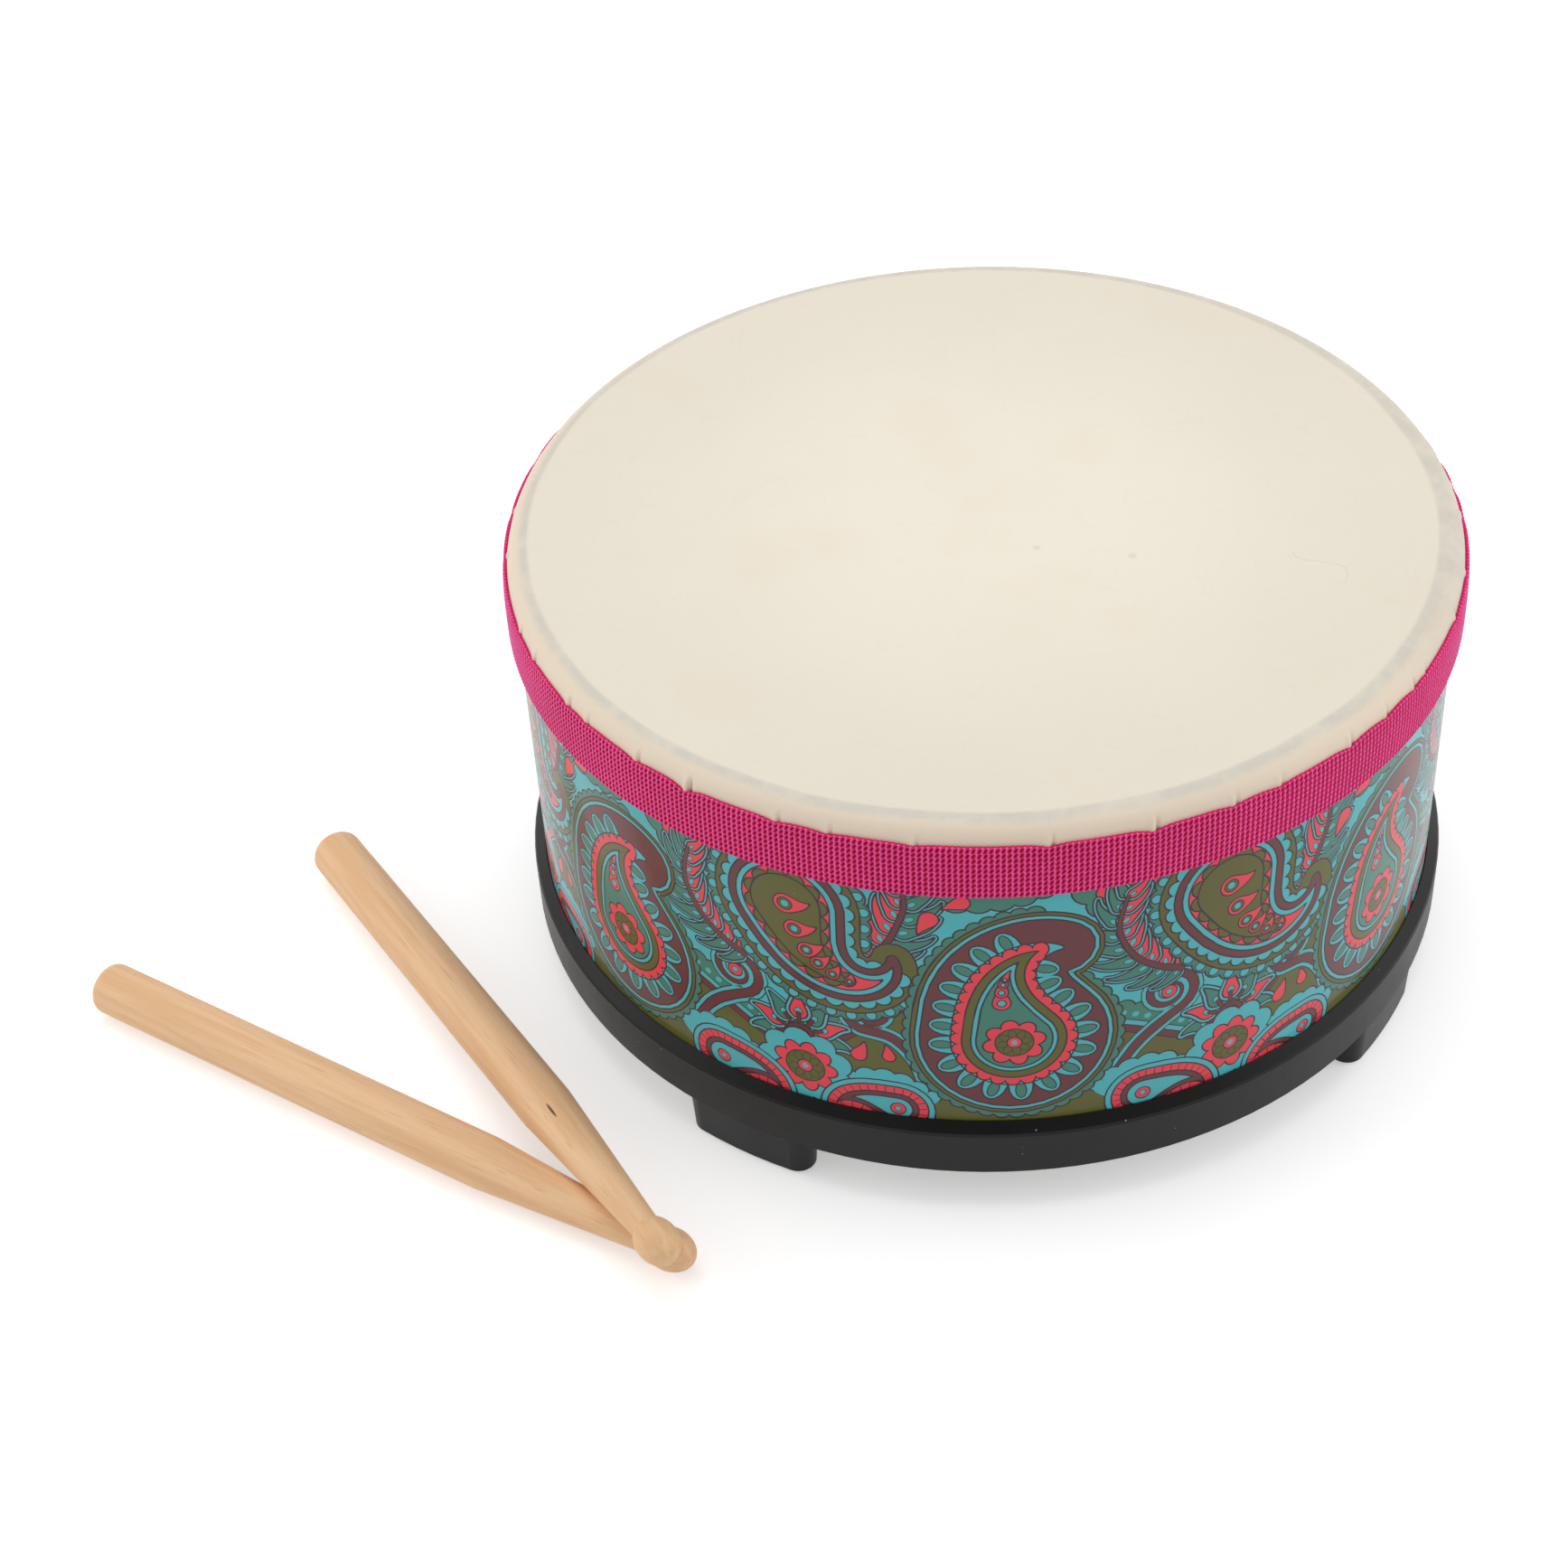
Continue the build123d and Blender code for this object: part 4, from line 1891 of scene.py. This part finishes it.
    def lay_repeat(self) -> None:
        """Lays the whole repeat."""
        self.ground()
        top_bank = [(-6, 116), (6, 110), (22, 109), (36, 112), (46, 118)]
        self.cloud(top_bank, size=4.0, depth=-9.0, ink=Ink.PINE)
        left_vine = [(55, 42), (61, 52), (67, 58)]
        self.scroll((70, 69), radius=7.6, start=-60, sweep=560, tail=left_vine)
        right_vine = [(122, 42), (119, 52), (113, 59)]
        self.scroll((107, 67), radius=6.8, start=250, sweep=-540, tail=right_vine)
        left_bank = [(50, 40), (58, 44), (69, 44), (78, 38)]
        self.cloud(left_bank, size=3.6, depth=12.0, ink=Ink.TEAL)
        right_bank = [(97, 38), (105, 43), (115, 43), (125, 38)]
        self.cloud(right_bank, size=3.4, depth=12.0, ink=Ink.TEAL)
        self.flower((58, 113), radius=10.5, petals=10, halo=Ink.PINE)
        right_stem = [(106, 77), (109, 86), (114, 96), (117, 107), (114, 119)]
        self.frond(right_stem, size=11.5, inks=(Ink.CORAL, Ink.PINE))
        left_stem = [(74, 76), (67, 79), (60, 85), (56, 95), (58, 106)]
        self.frond(left_stem, size=11.0, inks=(Ink.PINE, Ink.CORAL))
        self.palmette((88, 53), size=14.0, facing=90, inks=(Ink.CORAL, Ink.PINE))
        self.hanging_paisley(x=86, y=99)
        self.flower((89, 42), radius=9.6, petals=9, halo=Ink.TEAL)
        self.low_paisley(Boteh(64, 34, radius=8.2, heading=15, length=27, bend=-150, count=30))
        self.low_paisley(Boteh(114, 33, radius=7.6, heading=160, length=25, bend=150, count=30))
        self.grand_paisley(x=30, y=60)
        seeds = ((9, 102, 235, 2.3), (17, 108, 200, 2.0), (104, 51, 65, 2.0), (112, 52, 95, 1.6))
        for x, y, heading, radius in seeds:
            seed = Boteh(x, y, radius, heading, length=2.6 * radius, bend=20, count=12)
            self.drop(seed, Ink.CORAL)


@dataclass
class PrintedWrap:
    """The printed film round the shell, closed all round, each ink in crisp faces of its own.

    Sizes are in millimetres and angles in degrees. A grain says how near two corners are to be
    taken as one: where shapes are cut, and where repeats meet.
    """

    repeats: int = 7
    strips: int = 26
    cut_grain: float = 1e-4
    join_grain: float = 0.01
    melt_angle: float = 5.0
    first_bearing: float = -100.0
    level_share: float = 0.5
    finish: FilmFinish = field(default_factory=FilmFinish)

    def __post_init__(self) -> None:
        """Reads the film's place from its CAD solid, and the shell's radius that it lies on."""
        low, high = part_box("printed_wrap")
        self.radius = high.x / MM
        self.inner_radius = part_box("drum_shell")[1].x / MM
        self.low = low.z / MM
        self.high = high.z / MM

    @property
    def around(self) -> float:
        """The way round the film, in millimetres."""
        return TURN * self.radius

    @property
    def tile(self) -> float:
        """The width of one repeat, in millimetres."""
        return self.around / self.repeats

    def wrapped(self, x: float, y: float, radius: float) -> Place:
        """Where a point of the flat film goes round the shell, at this radius in millimetres."""
        return round_place(radians(self.first_bearing) + x / self.radius, radius * MM, y * MM)

    def cut_shapes(self) -> tuple[list[Vector], list[list[int]], list[Ink]]:
        """Cuts one flat repeat into triangles, each under one topmost shape.

        Returns:
            The corners, in millimetres, the triangles and each triangle's ink.
        """
        design = PaisleyPrint(self.tile, self.low)
        design.lay_repeat()
        points: list[Point] = [(0, self.low), (self.tile, self.low), (self.tile, self.high), (0, self.high)]
        polygons: list[list[int]] = [[0, 1, 2, 3]]
        inks: list[Ink] = [Ink.TEAL]
        for outline, ink in design.shapes:
            for shift in (-self.tile, 0.0, self.tile):
                moved = [(x + shift, y) for x, y in outline]
                if max(x for x, _ in moved) < 0 or min(x for x, _ in moved) > self.tile:
                    continue
                polygons.append(list(range(len(points), len(points) + len(moved))))
                points.extend(moved)
                inks.append(ink)
        edges = []
        for strip in range(1, self.strips):
            x = self.tile * strip / self.strips
            edges.append((len(points), len(points) + 1))
            points.extend([(x, self.low), (x, self.high)])
        flat = [Vector(point) for point in points]
        cut = delaunay_2d_cdt(flat, edges, polygons, TRIANGLES_INSIDE, self.cut_grain)
        corners, _, faces, _, _, sources = cut
        inside = [(list(face), max(source)) for face, source in zip(faces, sources) if 0 in source]
        return corners, [face for face, _ in inside], [inks[topmost] for _, topmost in inside]

    def flat_tile(self) -> tuple[list[Point], list[list[int]], list[Ink]]:
        """Makes one flat repeat and melts the cuts that no longer show.

        Returns:
            The corners, in millimetres, the triangles and each triangle's ink.
        """
        corners, faces, inks = self.cut_shapes()
        order = list(Ink)
        tile = new_piece("flat_print", [(x, y, 0.0) for x, y in corners], faces)
        for ink in order:
            tile.data.materials.append(bpy.data.materials.new(ink.name))
        for face, ink in zip(tile.data.polygons, inks):
            face.material_index = order.index(ink)
        strip_width = self.tile / self.strips
        for edge in tile.data.edges:
            start, end = (tile.data.vertices[corner].co.x / strip_width for corner in edge.vertices)
            off_line = max(abs(start - end), abs(start - round(start)))
            edge.use_seam = off_line < self.cut_grain
        with edit_mode(tile):
            bpy.ops.mesh.select_all(action="SELECT")
            bpy.ops.mesh.delete_loose()
            bpy.ops.mesh.select_all(action="DESELECT")
            bpy.ops.mesh.select_non_manifold()
            bpy.ops.mesh.select_all(action="INVERT")
            bpy.ops.mesh.dissolve_limited(angle_limit=radians(self.melt_angle), delimit={"MATERIAL", "SEAM"})
            bpy.ops.mesh.select_all(action="SELECT")
            bpy.ops.mesh.quads_convert_to_tris(quad_method="BEAUTY", ngon_method="BEAUTY")
        flat = [(corner.co.x, corner.co.y) for corner in tile.data.vertices]
        melted = [list(face.vertices) for face in tile.data.polygons]
        shades = [order[face.material_index] for face in tile.data.polygons]
        for material in list(tile.data.materials):
            bpy.data.materials.remove(material)
        bpy.data.meshes.remove(tile.data)
        return flat, melted, shades

    def joined_repeats(self) -> tuple[list[Point], list[list[int]], list[Ink]]:
        """Sets the repeats side by side, with one corner where two of them meet.

        Returns:
            The corners, in millimetres, the triangles and each triangle's ink.
        """
        corners, faces, inks = self.flat_tile()
        log.info("print: %d triangles in one repeat", len(faces))
        numbers: dict[tuple[int, int], int] = {}
        kept: list[Point] = []
        joined: list[list[int]] = []
        shades: list[Ink] = []
        steps_around = round(self.around / self.join_grain)
        for repeat in range(self.repeats):
            which = []
            for tile_x, y in corners:
                x = tile_x + self.tile * repeat
                key = (round(x % self.around / self.join_grain) % steps_around, round(y / self.join_grain))
                if key not in numbers:
                    numbers[key] = len(kept)
                    kept.append((x, y))
                which.append(numbers[key])
            for face, ink in zip(faces, inks):
                triangle = [which[corner] for corner in face]
                if len(set(triangle)) == len(triangle):
                    joined.append(triangle)
                    shades.append(ink)
        return kept, joined, shades

    def ink_faces(self, film: bpy.types.Object, shades: Sequence[Ink]) -> None:
        """Writes each face's ink on its corners: the print first, and plain paper behind it.

        Args:
            film: The film.
            shades: The inks of its first faces.
        """
        mesh = film.data
        papers = [Ink.PAPER] * (len(mesh.polygons) - len(shades))
        corners = [face.loop_total for face in mesh.polygons]
        colours = np.array([ink.value for ink in [*shades, *papers]], dtype=np.float32)
        layer = mesh.attributes.new(self.finish.ink_layer, "FLOAT_COLOR", "CORNER")
        layer.data.foreach_set("color", np.repeat(colours, corners, axis=0).ravel())

    def build(self) -> bpy.types.Object:
        """Wraps the repeats round the shell, adds the film's glued side and dresses it.

        Returns:
            The finished piece.
        """
        kept, walls, shades = self.joined_repeats()
        points = [self.wrapped(x, y, self.radius) for x, y in kept]
        back = self.back_faces(kept, points)
        film = new_piece("printed_film_wrap", points, walls + back)
        self.ink_faces(film, shades)
        self.shade_round(film)
        set_only(film, self.finish.material())
        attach(film, "drum")
        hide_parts("printed_wrap")
        return film

    def back_faces(self, kept: Sequence[Point], points: list[Place]) -> list[list[int]]:
        """Adds the film's inner corners and says which faces close it.

        Args:
            kept: The outer corners, flat.
            points: The outer corners, wrapped, to which the inner ones are added.

        Returns:
            The faces of the two cut edges and of the side that is glued to the shell.
        """
        rims = []
        for height in (self.low, self.high):
            numbered = enumerate(kept)
            rim = sorted((x, number) for number, (x, y) in numbered if abs(y - height) < self.join_grain)
            inner = range(len(points), len(points) + len(rim))
            points.extend(self.wrapped(x, height, self.inner_radius) for x, _ in rim)
            rims.append([(x, number, behind) for (x, number), behind in zip(rim, inner)])
        faces = []
        for rim, upper in zip(rims, (False, True)):
            for (_, outer, inner), (_, next_outer, next_inner) in zip(rim, rim[1:] + rim[:1]):
                face = [outer, inner, next_inner, next_outer]
                faces.append(face[::-1] if upper else face)
        strip_width = self.tile / self.strips
        strips = self.strips * self.repeats
        for strip in range(strips):
            start, end = strip * strip_width - self.join_grain, (strip + 1) * strip_width + self.join_grain
            low, high = ([inner for x, _, inner in rim if start <= x <= end] for rim in rims)
            if strip == strips - 1:
                low.append(rims[0][0][2])
                high.append(rims[1][0][2])
            faces.append(high + low[::-1])
        return faces

    def shade_round(self, film: bpy.types.Object) -> None:
        """Points the walls' shading straight away from the drum's axis, or towards it inside.

        Args:
            film: The film.
        """
        mesh = film.data
        mesh.polygons.foreach_set("use_smooth", [True] * len(mesh.polygons))
        normals = []
        for face in mesh.polygons:
            level = abs(face.normal.z) > self.level_share
            for corner in face.vertices:
                place = mesh.vertices[corner].co
                out = Vector((place.x, place.y, 0.0)).normalized()
                inward = face.normal.dot(out) < 0
                normals.append(face.normal.copy() if level else -out if inward else out)
        mesh.normals_split_custom_set(normals)


# ---------------------------------------------------------------- parts kept from the CAD


@dataclass
class DrumShell:
    """The plywood tube inside the film."""

    finish: PlywoodFinish = field(default_factory=PlywoodFinish)

    def build(self) -> bpy.types.Object:
        """Dresses the shell and returns it."""
        return dress_node("drum_shell", self.finish.material())


@dataclass
class HeadStaples:
    """The staples under the webbing."""

    finish: StapleFinish = field(default_factory=StapleFinish)

    def build(self) -> bpy.types.Object:
        """Dresses the staples and returns them."""
        return dress_node("head_staples", self.finish.material())


@dataclass
class BaseRing:
    """The black moulded ring with its four feet."""

    finish: MouldedPlasticFinish = field(default_factory=MouldedPlasticFinish)

    def build(self) -> bpy.types.Object:
        """Dresses the ring and returns it."""
        return dress_node("base_ring", self.finish.material())


@dataclass(frozen=True)
class GrainCheck:
    """A short dark crack in the wood: how far from the butt, how far round from the top, in degrees."""

    from_butt: float
    round_from_top: float


@dataclass
class Drumstick:
    """One turned birch stick, its grain laid along its own axis towards the tip."""

    node_name: str
    checks: tuple[GrainCheck, ...] = ()
    radius: float = 7.5

    def build(self) -> bpy.types.Object:
        """Dresses the stick.

        Returns:
            The stick's object.
        """
        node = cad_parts[self.node_name]
        corners = np.array([corner.co for corner in node.data.vertices])
        middle = corners.mean(axis=0)
        _, _, axes = np.linalg.svd(corners - middle, full_matrices=False)
        along = axes[0] if axes[0][0] > 0 else -axes[0]
        reach = (corners - middle) @ along
        centre = middle + along * (reach.min() + reach.max()) / 2
        half_length = (reach.max() - reach.min()) / 2
        turn = Vector(along).to_track_quat("X", "Z").to_euler()
        places = []
        for check in self.checks:
            lean = radians(check.round_from_top)
            offset = (self.radius * sin(lean) * MM, self.radius * cos(lean) * MM)
            places.append((check.from_butt * MM - half_length, *offset))
        finish = TurnedBirchFinish(f"{self.node_name}_birch", tuple(centre), tuple(turn), tuple(places))
        return dress_node(self.node_name, finish.material())


# ---------------------------------------------------------------- studio


@dataclass
class SoftLight:
    """A square soft light that faces a point, its size in metres and its power in watts."""

    name: str
    place: Place
    side: float
    power: float
    aim: Place = (0.0, 0.0, 0.05)

    def build(self) -> bpy.types.Object:
        """Hangs the light.

        Returns:
            The light's object.
        """
        lamp = bpy.data.lights.new(self.name, "AREA")
        lamp.shape = "SQUARE"
        lamp.size = self.side
        lamp.energy = self.power
        light = bpy.data.objects.new(self.name, lamp)
        bpy.context.scene.collection.objects.link(light)
        light.location = self.place
        ahead = Vector(self.aim) - Vector(self.place)
        light.rotation_euler = ahead.to_track_quat("-Z", "Y").to_euler()
        return light


@dataclass
class Studio:
    """A pale paper floor, soft lights, a pale sky and the camera.

    Places and sizes are in metres, the camera's lens and sensor in millimetres and its angles in
    radians.
    """

    camera_place: Place = (0.0, -0.64777, 0.6049)
    camera_lens: float = 68.243
    camera_sensor: float = 36.0
    camera_down: float = 0.719519
    camera_left: float = 0.088517
    camera_roll: float = -0.063219
    camera_reach: float = 40.0
    floor_size: float = 12.0
    sky: float = 0.5
    dark_ceiling: float = 0.2
    ceiling_reach: Point = (0.25, 0.75)
    finish: FloorFinish = field(default_factory=FloorFinish)
    lights: tuple[SoftLight, ...] = (
        SoftLight("overhead_light", (0.0, 0.35, 1.7), side=1.6, power=12.0),
        SoftLight("left_light", (-1.5, -0.1, 0.7), side=1.2, power=6.0),
        SoftLight("right_light", (1.5, -0.1, 0.7), side=1.2, power=6.0),
    )

    def build(self) -> None:
        """Sets up the floor, the sky, the lights and the camera."""
        self.lay_floor()
        self.paint_sky()
        for light in self.lights:
            light.build()
        self.place_camera()
        bpy.context.scene.view_settings.view_transform = "Standard"

    def lay_floor(self) -> None:
        """Lays the paper that the drum stands on."""
        floor = fresh_piece("studio_floor", bpy.ops.mesh.primitive_plane_add, size=self.floor_size)
        set_only(floor, self.finish.material())

    def paint_sky(self) -> None:
        """Makes the surroundings: white where they are seen, dimmer as light, dark overhead in gloss."""
        sky = bpy.data.worlds.new("studio_sky")
        sky.use_nodes = True
        sky.node_tree.nodes.clear()
        sheet = NodeSheet(sky.node_tree)
        ray = sheet.add("ShaderNodeLightPath").outputs
        seen = sheet.math("MAXIMUM", ray["Is Camera Ray"], ray["Is Transmission Ray"])
        direction = sheet.add("ShaderNodeTexCoord").outputs["Generated"]
        height = sheet.add("ShaderNodeSeparateXYZ", {"Vector": direction}).outputs["Z"]
        mirrored = sheet.spread(height, *self.ceiling_reach, (1.0, self.dark_ceiling))
        strength = sheet.add("ShaderNodeMix", {0: ray["Is Glossy Ray"], 2: self.sky, 3: mirrored}).outputs[0]
        strength = sheet.add("ShaderNodeMix", {0: seen, 2: strength, 3: 1.0}).outputs[0]
        light = sheet.add("ShaderNodeBackground", {"Color": WHITE, "Strength": strength})
        sheet.add("ShaderNodeOutputWorld", {"Surface": light.outputs[0]})
        bpy.context.scene.world = sky

    def place_camera(self) -> None:
        """Puts the camera at the seat of someone looking down at the drum."""
        data = bpy.data.cameras.new("studio_camera")
        data.lens = self.camera_lens
        data.sensor_width = self.camera_sensor
        data.clip_end = self.camera_reach
        camera = bpy.data.objects.new("studio_camera", data)
        bpy.context.scene.collection.objects.link(camera)
        down, left, roll = self.camera_down, self.camera_left, self.camera_roll
        ahead = Vector((-sin(left) * cos(down), cos(left) * cos(down), -sin(down)))
        level = Vector((cos(left), sin(left), 0.0))
        upright = level.cross(ahead)
        right = level * cos(roll) + upright * sin(roll)
        top = upright * cos(roll) - level * sin(roll)
        turned = Matrix((right, top, -ahead)).transposed().to_4x4()
        camera.matrix_world = Matrix.Translation(self.camera_place) @ turned
        bpy.context.scene.camera = camera


# ---------------------------------------------------------------- everything in order


def main() -> None:
    """Builds the scene piece by piece and writes down how large it came out."""
    logging.basicConfig(level=logging.INFO, format="%(name)s: %(message)s")
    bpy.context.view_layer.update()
    Studio().build()
    pleats = RimPleats()
    parts = (
        DrumShell(),
        PrintedWrap(),
        DrumHead(pleats),
        HeadStaples(),
        EdgeWebbing(pleats),
        BaseRing(),
        Drumstick("drumstick_lower"),
        Drumstick("drumstick_upper", (GrainCheck(from_butt=144.0, round_from_top=-16.0),)),
    )
    for part in parts:
        piece = part.build()
        log.info("%s: %d faces", piece.name, len(piece.data.polygons))


if __name__ == "__main__":
    main()
